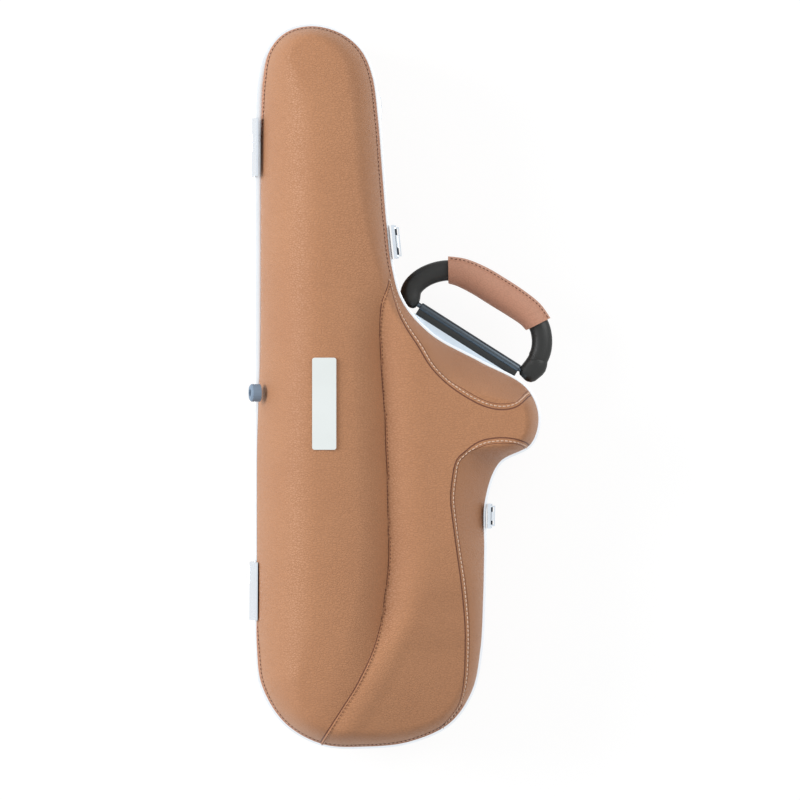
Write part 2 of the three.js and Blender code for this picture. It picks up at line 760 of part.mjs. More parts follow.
function knuckle(half, reachOut, y, length) {
  const eye = rodAlongY(knuckleRadius, length, 0, hingeAxisZ, pinSides);
  const inner = Math.min(reachOut - beltProud - leafInset, knuckleRadius);
  const top = hingeAxisZ + half.turn * (leafFold + leafInset);
  const web = barAlongY([[leafSetIn, hingeAxisZ], [inner, hingeAxisZ], [inner, top], [leafSetIn, top]], length);
  return joinAll([eye, web]).translate(0, y, 0);
}

function buildHinge(i) {
  const name = `hinge_${hingeNames[i]}`;
  const place = placeOf(-1, hingeShares[i]);
  const reachOut = hingeReaches[i];
  const offset = hingeKnuckleOffsets[i];
  const pitch = knuckleLength + knuckleGap;
  const bore = rodAlongY(knuckleBore, hingeLength * 2, 0, hingeAxisZ, pinSides);
  const [lidPart, basePart] = [new THREE.Group(), new THREE.Group()];
  [lidPart, basePart].forEach((part) => {
    part.position.set(spineX - reachOut, hingeYs[i], 0);
    part.rotation.z = -hingeLean;
  });
  lid.add(lidPart);
  base.add(basePart);
  const lidLeaf = [barAlongY(leafSection(lidHalf, place, reachOut), hingeLength)];
  [-1, 1].forEach((end) => lidLeaf.push(knuckle(lidHalf, reachOut, offset + end * pitch, knuckleLength)));
  addPiece(lidPart, `${name}_lid_leaf`, cutAll(joinAll(lidLeaf), [bore]), bright);
  const baseLeaf = [barAlongY(leafSection(baseHalf, place, reachOut), hingeLength)];
  baseLeaf.push(knuckle(baseHalf, reachOut, offset, knuckleLength));
  addPiece(basePart, `${name}_base_leaf`, cutAll(joinAll(baseLeaf), [bore]), bright);
  const pinLength = 3 * pitch + 2 * partingGap;
  const pin = [rodAlongY(hingePinRadius, pinLength, 0, hingeAxisZ, pinSides)];
  [-1, 1].forEach((end) => {
    const head = rodAlongY(hingePinHead, hingePinHeadLength, 0, hingeAxisZ, pinSides);
    pin.push(head.translate(0, end * (pinLength / 2 + hingePinHeadLength / 4), 0));
  });
  addPiece(basePart, `${name}_pin`, joinAll(pin).translate(0, offset, 0), bright);
}

// Rubber foot on the spine wall of a half, set square to the wall, with its screw
function buildFoot(half, group, name) {
  const place = placeOf(-1, footShare);
  const z = half.rim + half.turn * footRise;
  const [below, inset, above] = [-1, 0, 1].map((share) => {
    return wallInset(half, -1, place, z + share * half.turn * footRadius);
  });
  const fall = above - below;
  const tilt = Math.atan2(fall, 2 * footRadius);
  const at = outlineAt(-1, place);
  const part = new THREE.Group();
  const [seatOut, seatRise] = [footSeatGap * Math.cos(tilt), footSeatGap * Math.sin(tilt)];
  part.position.set(at.x + inset - seatOut, at.y, z + half.turn * seatRise);
  part.rotation.y = half.turn * tilt;
  group.add(part);
  const profile = [
    [0, 0], [footRadius, 0], [footRadius, footHeight - footRimFall], [footRadius - footRimFall, footHeight],
    [footScrewHole, footHeight], [footScrewHole, footHeight - footScrewDepth], [0, footHeight - footScrewDepth],
  ].map(([r, h]) => new THREE.Vector2(r, h));
  const foot = new THREE.LatheGeometry(profile, footSides).rotateZ(Math.PI / 2);
  addPiece(part, `${name}_foot`, closedLathe(foot), rubber);
  const screw = new THREE.CylinderGeometry(footScrewRadius, footScrewRadius, footScrewHeight, pinSides);
  const seat = footHeight - footScrewDepth + seatGap + footScrewHeight / 2;
  addPiece(part, `${name}_foot_screw`, screw.rotateZ(Math.PI / 2).translate(-seat, 0, 0), gunmetal);
}

function closedLathe(geometry) {
  const bare = geometry.clone();
  bare.deleteAttribute('normal');
  bare.deleteAttribute('uv');
  const joined = mergeVertices(bare, mergeReach);
  const place = joined.attributes.position;
  const points = Array.from({ length: place.count }, (_, i) => {
    return new THREE.Vector3().fromBufferAttribute(place, i);
  });
  const index = Array.from(joined.index.array);
  const triangles = Array.from({ length: index.length / 3 }, (_, i) => index.slice(3 * i, 3 * i + 3));
  return closedGeometry(points, triangles);
}

// Draw latch: X points out from the edge, Y runs along it
const catchRidgeZ = seamHeight + clawTopRise - clawNoseHeight - catchRidgeHeight - catchNoseGap;

// How far the belt reaches past its place at the middle of a flat plate that stands on it
function beltBulge(at, halfLength) {
  const out = at.inward.clone().negate();
  const along = new THREE.Vector2(-out.y, out.x);
  const corners = rowShares.map((place) => offsetAt(1, place, -beltProud));
  const reaches = corners.slice(1).flatMap((corner, i) => beltSampleShares.map((share) => {
    const point = corners[i].clone().lerp(corner, share).sub(new THREE.Vector2(at.x, at.y));
    return Math.abs(point.dot(along)) > halfLength ? 0 : point.dot(out) - beltProud;
  }));
  return Math.max(0, ...reaches);
}

function buildLatch(i) {
  const name = `latch_${latchNames[i]}`;
  const width = latchWidths[i];
  const place = placeOf(1, latchShares[i]);
  const at = outlineAt(1, place);
  const bulge = beltBulge(at, width / 2 + beltProud);
  const turn = Math.atan2(-at.inward.y, -at.inward.x);
  const [lidPart, basePart] = [new THREE.Group(), new THREE.Group()];
  [lidPart, basePart].forEach((part) => {
    part.position.set(at.x - at.inward.x * bulge, at.y - at.inward.y * bulge, 0);
    part.rotation.z = turn;
  });
  lid.add(lidPart);
  base.add(basePart);
  const plateIn = beltProud + seatGap;
  const plateOut = plateIn + latchPlateThickness;
  const pivotZ = seamHeight - leverPivotDrop;
  const clawZ = seamHeight - clawPivotDrop;
  const earOut = width / 2;
  const earIn = earOut - earThickness;
  const flangeOut = earIn - latchGap;
  const flangeIn = flangeOut - leverFlange;
  const clawHalf = flangeOut * clawWidthShare;
  const hole = (x, z) => rodAlongY(latchPinHole, width * 2, x, z, pinSides);

  const basePlate = boxBetween(
    [plateIn, -earOut, seamHeight - latchPlateDrop],
    [plateOut, earOut, seamHeight - seatGap],
  );
  const ears = [-1, 1].map((side) => {
    const [from, to] = side > 0 ? [earIn, earOut] : [-earOut, -earIn];
    const low = pivotZ - leverEyeRadius;
    return boxBetween([plateIn, from, low], [leverPivotOut + leverEyeRadius, to, pivotZ + leverEyeRadius]);
  });
  const leverHole = hole(leverPivotOut, pivotZ);
  const clawHole = hole(clawPivotOut, clawZ);
  const leverPin = rodAlongY(latchPinRadius, width, leverPivotOut, pivotZ, pinSides);
  addPiece(basePart, `${name}_base_plate`, cutAll(joinAll([basePlate, ...ears]), [leverHole]), bright);
  addPiece(basePart, `${name}_lever_pin`, leverPin, gunmetal);

  const leverIn = clawPivotOut + clawEyeRadius + latchGap;
  const leverTop = pivotZ + leverAboveDrop;
  const leverLow = leverTop - leverLength;
  const leverPlate = boxBetween(
    [leverIn, -flangeOut, leverLow],
    [leverIn + leverThickness, flangeOut, leverTop],
  );
  const slot = boxBetween(
    [leverIn - cutOverrun, -clawHalf - latchGap, clawZ - clawEyeRadius - clawThickness],
    [leverIn + cutOverrun, clawHalf + latchGap, leverTop + cutOverrun],
  );
  const flanges = [-1, 1].map((side) => {
    const [from, to] = side > 0 ? [flangeIn, flangeOut] : [-flangeOut, -flangeIn];
    const eye = new THREE.CylinderGeometry(leverEyeRadius, leverEyeRadius, to - from, pinSides);
    eye.translate(leverPivotOut, (from + to) / 2, pivotZ);
    const low = clawZ - clawEyeRadius;
    const cheek = boxBetween([leverPivotOut, from, low], [leverIn + leverThickness / 2, to, pivotZ]);
    return joinAll([eye, cheek]);
  });
  const lever = cutAll(joinAll([leverPlate, ...flanges]), [slot, leverHole, clawHole]);
  const clawPin = rodAlongY(latchPinRadius, 2 * flangeOut, clawPivotOut, clawZ, pinSides);
  addPiece(basePart, `${name}_lever`, lever, bright);
  addPiece(basePart, `${name}_claw_pin`, clawPin, gunmetal);

  const clawTop = seamHeight + clawTopRise;
  const clawOut = clawPivotOut + clawThickness / 2;
  const clawIn = clawPivotOut - clawThickness / 2;
  const noseIn = plateOut + catchRidgeOut + catchNoseGap;
  const clawEye = rodAlongY(clawEyeRadius, 2 * clawHalf, clawPivotOut, clawZ, pinSides);
  const clawPlate = barAlongY([
    [clawIn, clawZ], [clawOut, clawZ], [clawOut, clawTop], [noseIn, clawTop],
    [noseIn, clawTop - clawNoseHeight], [clawIn, clawTop - clawNoseHeight],
  ], 2 * clawHalf);
  addPiece(basePart, `${name}_claw`, cutAll(joinAll([clawEye, clawPlate]), [clawHole]), bright);

  const catchTop = seamHeight + latchPlateRise;
  addPiece(lidPart, `${name}_catch`, barAlongY([
    [plateIn, seamHeight + partingGap + seatGap], [plateOut, seamHeight + partingGap + seatGap],
    [plateOut, catchRidgeZ], [plateOut + catchRidgeOut, catchRidgeZ],
    [plateOut + catchRidgeOut, catchRidgeZ + catchRidgeHeight], [plateOut, catchRidgeZ + catchRidgeHeight],
    [plateOut, catchTop], [plateIn, catchTop],
  ], width), bright);
}

// Handle: X runs along the axle, which lies off a chord of the outline, and Y points out from the case
const [spanStart, spanEnd] = handleSpanShares.map((place) => outlineAt(1, place));
const handleTurn = Math.atan2(spanEnd.y - spanStart.y, spanEnd.x - spanStart.x);
const handlePart = new THREE.Group();
const alongBar = new THREE.Vector2(Math.cos(handleTurn), Math.sin(handleTurn));
const outOfBar = new THREE.Vector2(-alongBar.y, alongBar.x);
const barMiddle = new THREE.Vector2(spanStart.x + spanEnd.x, spanStart.y + spanEnd.y).divideScalar(2);
barMiddle.addScaledVector(alongBar, handleShift);

// The bar stands off the chord so far that the left hub clears the wall beside its end
function hubPlace() {
  let [low, high] = hubSearchShares;
  for (let step = 0; step < hubSearchSteps; step += 1) {
    const middle = (low + high) / 2;
    if (offsetAt(1, middle, 0).sub(barMiddle).dot(alongBar) < leftHub[0]) low = middle;
    else high = middle;
  }
  return (low + high) / 2;
}

const hubInset = wallInset(baseHalf, 1, hubPlace(), handleAxisHeight);
const wallOut = offsetAt(1, hubPlace(), hubInset).sub(barMiddle).dot(outOfBar);
barMiddle.addScaledVector(outOfBar, wallOut + handleHubGap + hubRadius - handleAxisOut);
handlePart.position.set(barMiddle.x, barMiddle.y, handleAxisHeight);
handlePart.rotation.z = handleTurn;
base.add(handlePart);

function ellipseShape(halfX, halfY, sides) {
  return new THREE.Shape(Array.from({ length: sides }, (_, i) => {
    const angle = (i / sides) * Math.PI * 2;
    return new THREE.Vector2(halfX * Math.cos(angle), halfY * Math.sin(angle));
  }));
}

function sweep(shares, shape, steps) {
  const curve = new THREE.CatmullRomCurve3(shares.map(([along, out]) => {
    return new THREE.Vector3(along * handleHalfLength, out * handleReach, 0);
  }));
  return new THREE.ExtrudeGeometry(shape, { steps, extrudePath: curve, bevelEnabled: false });
}

function rodAlongX(radius, from, to, out, sides) {
  const rod = new THREE.CylinderGeometry(radius, radius, to - from, sides).rotateZ(Math.PI / 2);
  return rod.translate((from + to) / 2, out, 0);
}

function buildHandle() {
  const far = caseWidth;
  const bore = rodAlongX(axleBore, barrelEnds[0] - far, barrelEnds[1] + far, handleAxisOut, axleSides);
  const barrel = rodAlongX(barrelRadius, barrelEnds[0], barrelEnds[1], handleAxisOut, axleSides);
  const bar = boxBetween(
    [barrelEnds[0], mountBarOut[0], -mountBarDrop],
    [barrelEnds[1], mountBarOut[1] + barrelRadius / 2, mountBarRise],
  );
  addPiece(handlePart, 'handle_barrel', cutAll(joinAll([barrel, bar]), [bore]), gunmetal);
  const axleEnds = [(leftHub[0] + leftHub[1]) / 2, (rightHub[0] + rightHub[1]) / 2];
  addPiece(handlePart, 'handle_axle', rodAlongX(axleRadius, ...axleEnds, handleAxisOut, axleSides), gunmetal);

  const section = ellipseShape(loopHalfHeight, loopHalfWidth, loopSides);
  const loop = solidOf(sweep(loopShares, section, loopSteps));
  const outerLoop = solidOf(boxBetween([-far, legJointOut + legJointGap, -far], [far, far, far]));
  addPiece(handlePart, 'handle_loop', geometryOf(loop.intersect(outerLoop)), blackPlastic);
  [['left', leftHub, [-far, 0]], ['right', rightHub, [0, far]]].forEach(([side, hub, span]) => {
    const leg = loop.intersect(solidOf(boxBetween([span[0], -far, -far], [span[1], legJointOut, far])));
    const boss = solidOf(rodAlongX(hubRadius, hub[0], hub[1], handleAxisOut, axleSides));
    const middle = (hub[0] + hub[1]) / 2;
    const reach = axleRadius;
    const blind = side === 'left' ? [middle - reach, hub[1] + reach] : [hub[0] - reach, middle + reach];
    const socket = solidOf(rodAlongX(axleBore, ...blind, handleAxisOut, axleSides));
    addPiece(handlePart, `handle_${side}_end`, geometryOf(leg.add(boss).subtract(socket)), blackPlastic);
  });
  const sleeve = ellipseShape(gripRadius, gripRadius, gripSides);
  const hollow = ellipseShape(loopHalfHeight + gripSlack, loopHalfWidth + gripSlack, loopSides);
  const inside = sweep(loopShares, hollow, loopSteps);
  addPiece(handlePart, 'handle_grip', cutAll(sweep(gripShares, sleeve, gripSteps), [inside]), leather);
}

// Saddle plate between the curved edge of the case and the straight handle bar
function buildSaddle() {
  const [cos, sin] = [Math.cos(handleTurn), Math.sin(handleTurn)];
  const toPlan = (u, out) => new THREE.Vector2(
    handlePart.position.x + u * cos - out * sin,
    handlePart.position.y + u * sin + out * cos,
  );
  const plan = [
    toPlan(saddleEnds[0], -saddleReach),
    toPlan(saddleEnds[1], -saddleReach),
    toPlan(saddleEnds[1], saddleTipOut),
    toPlan(saddleShoulderU, saddleOuterEdge),
    toPlan(saddleEnds[0], saddleOuterEdge),
  ];
  const edge = stations.map(([side, place]) => offsetAt(side, place, -seatGap));
  const room = standing(edge, saddleBottom - cutOverrun, baseHalf.rim + cutOverrun);
  addPiece(base, 'handle_saddle', cutAll(standing(plan, saddleBottom, baseHalf.rim), [room]), aluminium);
}

// Strap bracket with a hanging ring
function buildStrap(i) {
  const name = `strap_${strapNames[i]}`;
  const side = strapSides[i];
  const place = placeOf(side, strapShares[i]);
  const at = outlineAt(side, place);
  const part = new THREE.Group();
  const top = strapHeight + strapPlateHeight / 2;
  const out = strapSeatGaps[i] - wallInset(baseHalf, side, place, top);
  part.position.set(at.x - at.inward.x * out, at.y - at.inward.y * out, strapHeight);
  part.rotation.z = Math.atan2(-at.inward.y, -at.inward.x);
  base.add(part);
  const plate = boxBetween(
    [0, -strapPlateLength / 2, -strapPlateHeight / 2],
    [strapPlateThickness, strapPlateLength / 2, strapPlateHeight / 2],
  );
  const eyeX = strapPlateThickness + strapEyeRadius - leafInset;
  const eye = rodAlongY(strapEyeRadius, strapEyeLength, eyeX, 0, pinSides);
  const bore = rodAlongY(strapEyeBore, strapPlateLength * 2, eyeX, 0, pinSides);
  addPiece(part, `${name}_bracket`, cutAll(joinAll([plate, eye]), [bore]), bright);
  const half = ringWidth / 2;
  const arcShares = [...ringShares, ...[...ringShares].reverse().slice(1).map(([across, down]) => [-across, down])];
  const arc = arcShares.map(([across, down]) => new THREE.Vector3(eyeX, across * half, -down * ringDrop));
  const curve = new THREE.CatmullRomCurve3(arc, false, 'centripetal');
  const wire = ellipseShape(ringWire, ringWire, ringSides);
  const bow = new THREE.ExtrudeGeometry(wire, { steps: ringSteps, extrudePath: curve, bevelEnabled: false });
  const bar = rodAlongY(ringWire, ringWidth, eyeX, 0, pinSides);
  addPiece(part, `${name}_ring`, joinAll([bow, bar]), bright);
}

buildLidSkins();
buildBaseSkins();
buildCradle();
buildBelts();
buildNameplate();
hingeNames.forEach((_, i) => buildHinge(i));
buildFoot(lidHalf, lid, 'lid');
buildFoot(baseHalf, base, 'base');
latchNames.forEach((_, i) => buildLatch(i));
buildHandle();
buildSaddle();
strapNames.forEach((_, i) => buildStrap(i));

export default caseGroup;
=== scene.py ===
import math
import bpy
import numpy as np
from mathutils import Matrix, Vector
from mathutils.bvhtree import BVHTree


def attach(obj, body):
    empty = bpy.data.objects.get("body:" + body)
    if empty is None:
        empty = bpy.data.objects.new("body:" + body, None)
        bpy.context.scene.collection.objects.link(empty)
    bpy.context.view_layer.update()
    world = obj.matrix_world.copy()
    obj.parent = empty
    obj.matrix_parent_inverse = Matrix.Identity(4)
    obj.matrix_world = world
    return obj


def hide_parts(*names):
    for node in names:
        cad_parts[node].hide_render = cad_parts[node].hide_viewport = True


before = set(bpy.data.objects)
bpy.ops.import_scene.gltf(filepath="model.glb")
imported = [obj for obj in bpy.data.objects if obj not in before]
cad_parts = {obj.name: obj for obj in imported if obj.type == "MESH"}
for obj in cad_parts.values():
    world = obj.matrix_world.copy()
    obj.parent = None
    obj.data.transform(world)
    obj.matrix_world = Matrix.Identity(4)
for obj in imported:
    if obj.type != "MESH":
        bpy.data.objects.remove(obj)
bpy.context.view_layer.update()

# Sizes of the case in millimetres, as in the part's source
MM = 0.001
LENGTH, WIDTH = 647.0, 253.0
SPINE_X, CREST_Y = -WIDTH / 2, LENGTH / 2
SEAM, LID_DEPTH, WALL_REACH = 88.0, 86.0, 40.0
BELT_HEIGHT, BELT_PROUD, BELT_INSIDE = 7.0, 2.2, 5.0
GAP = 0.3
LID_RIM = SEAM + GAP + BELT_HEIGHT + GAP
BASE_RIM = SEAM - BELT_HEIGHT - GAP
SEAM_INSET = 3.1

# The lid's face: how far its parts fall, how wide they are, and where along the length they come in
NECK_FALL_SHARE, NECK_REACH_SHARE = 0.24, 0.5
FOOT_FALL_SHARE, FOOT_START_SHARE = 0.05, 0.8
DOME_DROP, DOME_MIDDLE_SHARE = 11.0, 0.225
VALLEY_DEPTH, VALLEY_WIDTH, VALLEY_START_SHARES = 11.0, 28.0, (0.33, 0.46)
VALLEY_FLAT_SHARE, VALLEY_END_SHARES = 0.8, (0.8, 0.92)
BULGE_RISE, BULGE_WIDTH = 8.0, 34.0
SIDE_SLOPE, SIDE_START = 0.09, 20.0
FACET_SLOPE, FACET_SOFTNESS, FACET_START_SHARES = 0.28, 4.0, (0.68, 0.82)

# The walls: how blunt their sections are, and how wide they are in plan
LID_BLUNTNESS, BASE_BLUNTNESS, CRESCENT_SOFTENING = 2.3, 2.2, 0.9
BASE_WALL, BASE_WALL_GROWTH, BELL_WALL = 32.0, 1.4, 17.0
LEAST_WALL, LEAST_BELL_WALL, FARTHEST_SEAM = 1.6, 9.0, 70.0
ROW_GAP, WALL_CUT = 0.03, 0.3
WALL_BLEND, SLOPE_SHARES = 6, (1.0, 1.6)

# Places along the outline, counted in its points from the neck end down the spine. A stretch has four of them:
# where it begins, is full, fades and ends
SPINE_GROWTH, SPINE_STRETCH = 0.5, (0, 4, 17, 21.5)
NECK_GROWTH, NECK_STRETCH = 0.45, (37, 39, 42, 44)
TUCK, TUCK_STRETCH = 3.6, (1.2, 3.4, 8, 14)
LOW_SEAM_DROP_SHARE, LOW_SEAM_STRETCH = 0.93, (3, 5.5, 16.5, 18.5)
HIDDEN_SPINE = 4.5, 17.5

# Places counted from the neck end down the bell side
HANDLE_CRESCENT, SIDE_CRESCENT = (7.2, 11.5), (13.0, 19.8)
BELL_TIP, BELL_ROOTS = 12.2, (8, 17)
BASE_CRESCENT = 6.2, 7.0, 10.6, 11.4
BELL_PANELS = 7.3, 19.4

# The outline's points, as shares of the width, of the length and of the wall's reach
NECK_END = [0.199, 0, 0.36]
SPINE = [
    [0.107, 0.008, 0.4], [0.039, 0.035, 0.52], [0.009, 0.074, 0.7], [0.002, 0.129, 0.9], [0, 0.192, 0.95],
    [0, 0.261, 0.95], [0, 0.324, 0.95], [0, 0.38, 0.95], [0, 0.428, 0.95], [0, 0.47, 0.95], [0, 0.508, 0.95],
    [0, 0.544, 0.95], [0, 0.579, 0.95], [0, 0.616, 0.95], [0, 0.665, 0.95], [0, 0.727, 0.95], [0, 0.797, 0.95],
    [0, 0.86, 0.9], [0.018, 0.915, 0.75], [0.1, 0.967, 0.6], [0.231, 0.996, 0.5],
]
FOOT_END = [0.384, 1, 0.45]
BELL = [
    [0.299, 0.01, 0.36], [0.37, 0.033, 0.38], [0.409, 0.067, 0.42], [0.431, 0.129, 0.46], [0.445, 0.199, 0.46],
    [0.461, 0.275, 0.46], [0.48, 0.335, 0.36], [0.516, 0.382, 0.34], [0.616, 0.427, 0.45], [0.794, 0.466, 0.8],
    [0.957, 0.502, 0.38], [1, 0.54, 0.34], [0.975, 0.579, 0.32], [0.861, 0.606, 0.58], [0.811, 0.658, 0.72],
    [0.808, 0.727, 0.56], [0.804, 0.797, 0.42], [0.794, 0.866, 0.36], [0.765, 0.922, 0.34],
    [0.687, 0.967, 0.34], [0.544, 0.993, 0.38],
]

# The lid's seams and the facet's edge, as shares of the width and of the length
CREASE = [
    [0.48, 0.28], [0.474, 0.335], [0.466, 0.36], [0.443, 0.387], [0.438, 0.419], [0.438, 0.446], [0.445, 0.487],
    [0.454, 0.537], [0.458, 0.588], [0.463, 0.625], [0.467, 0.693], [0.467, 0.743], [0.454, 0.794],
    [0.444, 0.82], [0.412, 0.865], [0.357, 0.911], [0.308, 0.942], [0.236, 0.986], [0.19, 1.02],
]
HANDLE_SEAM = [
    [0.466, 0.352], [0.475, 0.362], [0.5, 0.395], [0.53, 0.419], [0.573, 0.445], [0.617, 0.473], [0.677, 0.497],
    [0.747, 0.516], [0.811, 0.528], [0.868, 0.532], [0.92, 0.528], [0.967, 0.513], [1.03, 0.49],
]
SIDE_SEAM = [
    [1.05, 0.6], [0.975, 0.582], [0.918, 0.573], [0.855, 0.571], [0.79, 0.576], [0.738, 0.59], [0.706, 0.604],
    [0.692, 0.632], [0.688, 0.66], [0.7, 0.7], [0.712, 0.735], [0.726, 0.776], [0.738, 0.827], [0.739, 0.868],
    [0.735, 0.904], [0.72, 0.936], [0.687, 0.957], [0.64, 0.975], [0.58, 0.99], [0.55, 1.03],
]
FACET = [
    [0.7, 0.66], [0.616, 0.719], [0.584, 0.776], [0.562, 0.796], [0.53, 0.828], [0.489, 0.849], [0.434, 0.87],
    [0.38, 0.91], [0.32, 0.955], [0.27, 0.99],
]


# Shape of the case

def smooth(low, high, value):
    """0 before low, 1 past high, and an easy step between them"""
    share = np.clip((np.asarray(value, float) - low) / (high - low), 0, 1)
    return share * share * (3 - 2 * share)


def stretch(places, begin, full, fade, end):
    """1 over a stretch of places, coming in from begin to full and going out from fade to end"""
    return smooth(begin, full, places) * (1 - smooth(fade, end, places))


def unit(vectors):
    return vectors / np.linalg.norm(vectors, axis=-1, keepdims=True)


def plan_x(share):
    return SPINE_X + share * WIDTH


def plan_y(share):
    return CREST_Y - share * LENGTH


def plan_points(shares):
    """Plan points given as shares of the width and the length"""
    return np.array([[plan_x(a), plan_y(b)] for a, b in shares])


def cubic(p1, p2, start, end, steps):
    """Points from p1 up to p2 on the cubic curve with the given tangents"""
    t = (np.arange(steps) / steps)[:, None]
    square = 3 * (p2 - p1) - 2 * start - end
    cube = 2 * (p1 - p2) + start + end
    return p1 + start * t + square * t ** 2 + cube * t ** 3


def centripetal(p0, p1, p2, p3, steps):
    """The stretch between p1 and p2 of a centripetal curve"""
    gaps = [max(np.sum((b - a) ** 2) ** 0.25, 1e-4) for a, b in ((p0, p1), (p1, p2), (p2, p3))]
    start = (p1 - p0) / gaps[0] - (p2 - p0) / (gaps[0] + gaps[1]) + (p2 - p1) / gaps[1]
    end = (p2 - p1) / gaps[1] - (p3 - p1) / (gaps[1] + gaps[2]) + (p3 - p2) / gaps[2]
    return cubic(p1, p2, start * gaps[1], end * gaps[1], steps)


def spline(shares, steps=8):
    """A smooth open curve through plan points given as shares"""
    points = plan_points(shares)
    padded = np.concatenate([points[:1], points, points[-1:]])
    out = [cubic(p1, p2, (p2 - p0) / 2, (p3 - p1) / 2, steps)
           for p0, p1, p2, p3 in zip(padded, padded[1:], padded[2:], padded[3:])]
    return np.concatenate(out + [points[-1:]])


def across_at(shares):
    """A function that gives a curve's x at any y"""
    curve = spline(shares)
    return lambda y: np.interp(-y, -curve[:, 1], curve[:, 0])


def inside_shape(points, edge):
    """Which points lie inside a closed plan shape"""
    x, y = points[:, 0], points[:, 1]
    inside = np.zeros(len(points), bool)
    for (ax, ay), (bx, by) in zip(edge, np.roll(edge, -1, 0)):
        at = ax + (y - ay) / (by - ay or 1e-9) * (bx - ax)
        inside ^= ((ay > y) != (by > y)) & (x < at)
    return inside


def rounded(corners, radius, steps=3, most_share=0.4):
    """A closed shape with its corners rounded, from each edge at most a share of its length"""
    corners = np.asarray(corners, float)
    out = []
    for i, point in enumerate(corners):
        ends = []
        for other in (corners[i - 1], corners[(i + 1) % len(corners)]):
            way = other - point
            ends.append(point + unit(way) * min(radius, np.linalg.norm(way) * most_share))
        before, after = ends
        for t in np.linspace(0, 1, steps):
            out.append((1 - t) ** 2 * before + 2 * t * (1 - t) * point + t ** 2 * after)
    return np.array(out)


marks = [NECK_END, *SPINE, FOOT_END, *reversed(BELL)]
marks = np.array([[plan_x(a), plan_y(b), c * WALL_REACH] for a, b, c in marks])
COUNT = len(marks)
STEPS = 40
ring = np.concatenate([
    centripetal(marks[i - 1], marks[i], marks[(i + 1) % COUNT], marks[(i + 2) % COUNT], STEPS)
    for i in range(COUNT)
])
ahead = np.roll(ring, -2, 0)[:, :2] - np.roll(ring, 2, 0)[:, :2]
ring_normals = unit(np.column_stack([-ahead[:, 1], ahead[:, 0]]))
crease_x = across_at(CREASE)
facet_x = across_at(FACET)


def outline_at(side, places):
    """Points, wall sizes and inward directions of the outline, side -1 on the spine and 1 on the bell side"""
    at = np.mod(places if side < 0 else COUNT - places, COUNT) * STEPS
    index = np.floor(at).astype(int) % len(ring)
    after = (index + 1) % len(ring)
    part = (at - np.floor(at))[:, None]
    here = ring[index] * (1 - part) + ring[after] * part
    normal = ring_normals[index] * (1 - part) + ring_normals[after] * part
    return here[:, :2], here[:, 2:], unit(normal)


def lid_face(x, y):
    """Height of the lid's face: a domed body tube, a valley beside it, and the bell's bulge with a facet"""
    along = (CREST_Y - y) / LENGTH
    neck = np.maximum(0, 1 - along / NECK_REACH_SHARE)
    foot = np.maximum(0, (along - FOOT_START_SHARE) / (1 - FOOT_START_SHARE))
    crown = SEAM + LID_DEPTH * (1 - NECK_FALL_SHARE * neck ** 2 - FOOT_FALL_SHARE * foot ** 2)
    fade = smooth(*VALLEY_START_SHARES, along)
    turn = crease_x(y)
    beyond = x - turn
    dome_x = np.where(fade > 0, np.minimum(x, turn), x)
    dome = DOME_DROP * ((dome_x - plan_x(DOME_MIDDLE_SHARE)) / (DOME_MIDDLE_SHARE * WIDTH)) ** 2
    valley = np.where(beyond < 0, np.maximum(0, 1 + beyond / VALLEY_WIDTH) ** 2, 1)
    rise = np.where(beyond > 0, 1 - np.maximum(0, 1 - beyond / BULGE_WIDTH) ** 2, 0)
    downhill = np.maximum(0, beyond - SIDE_START)
    fall = SIDE_SLOPE * downhill ** 2 / (downhill + SIDE_START)
    past = np.logaddexp(0, np.minimum((x - facet_x(y)) / FACET_SOFTNESS, 30)) * FACET_SOFTNESS
    facet = FACET_SLOPE * past * smooth(*FACET_START_SHARES, along) * smooth(0, BULGE_WIDTH, beyond)
    flatten = 1 - VALLEY_FLAT_SHARE * smooth(*VALLEY_END_SHARES, along)
    drop = fade * (flatten * (VALLEY_DEPTH * valley - BULGE_RISE * rise) + fall)
    return crown - dome - drop - facet


def seam_reach(shares, low, high):
    """How far the outline lies from a seam, square to the outline, between two places on the bell side"""
    curve = spline(shares)
    start, step = curve[:-1], np.diff(curve, axis=0)
    places = COUNT - np.arange(len(ring)) / STEPS
    reach = np.zeros(len(ring))
    for i in np.flatnonzero((places > low) & (places < high)):
        normal = ring_normals[i]
        gap = start - ring[i, :2]
        cross = normal[0] * step[:, 1] - normal[1] * step[:, 0]
        away = (gap[:, 0] * step[:, 1] - gap[:, 1] * step[:, 0]) / cross
        share = (gap[:, 0] * normal[1] - gap[:, 1] * normal[0]) / cross
        hits = away[(share >= 0) & (share <= 1) & (away > 0) & (away < FARTHEST_SEAM)]
        reach[i] = hits.min() if len(hits) else 0
    return reach


def softened(values, spread):
    """Values round the ring, each averaged with its neighbours"""
    window = np.hanning(2 * spread + 1)
    padded = np.concatenate([values[-spread:], values, values[:spread]])
    return np.convolve(padded, window / window.sum(), "valid")


def kept_in_order(widths):
    """Widths on the bell side, cut so that the rows over the face never cross beside the bell"""
    widths = widths.copy()

    def row(k):
        left = COUNT * STEPS - k
        return ring[left, :2] + ring_normals[left] * widths[left], ring[k, :2] + ring_normals[k] * widths[k]

    tip, upper_root, lower_root = (int((COUNT - place) * STEPS) for place in (BELL_TIP, *BELL_ROOTS))
    for last, way in ((upper_root, 1), (lower_root, -1)):
        before = row(tip)
        for k in range(tip + way, last, way):
            while widths[k] > LEAST_BELL_WALL:
                here = row(k)
                x = min(before[1][0], here[1][0])
                low, high = (np.interp(x, [a[0], b[0]], [a[1], b[1]]) for a, b in (before, here))
                if way * (high - low) > ROW_GAP:
                    break
                widths[k] -= WALL_CUT
            before = row(k)
    return widths


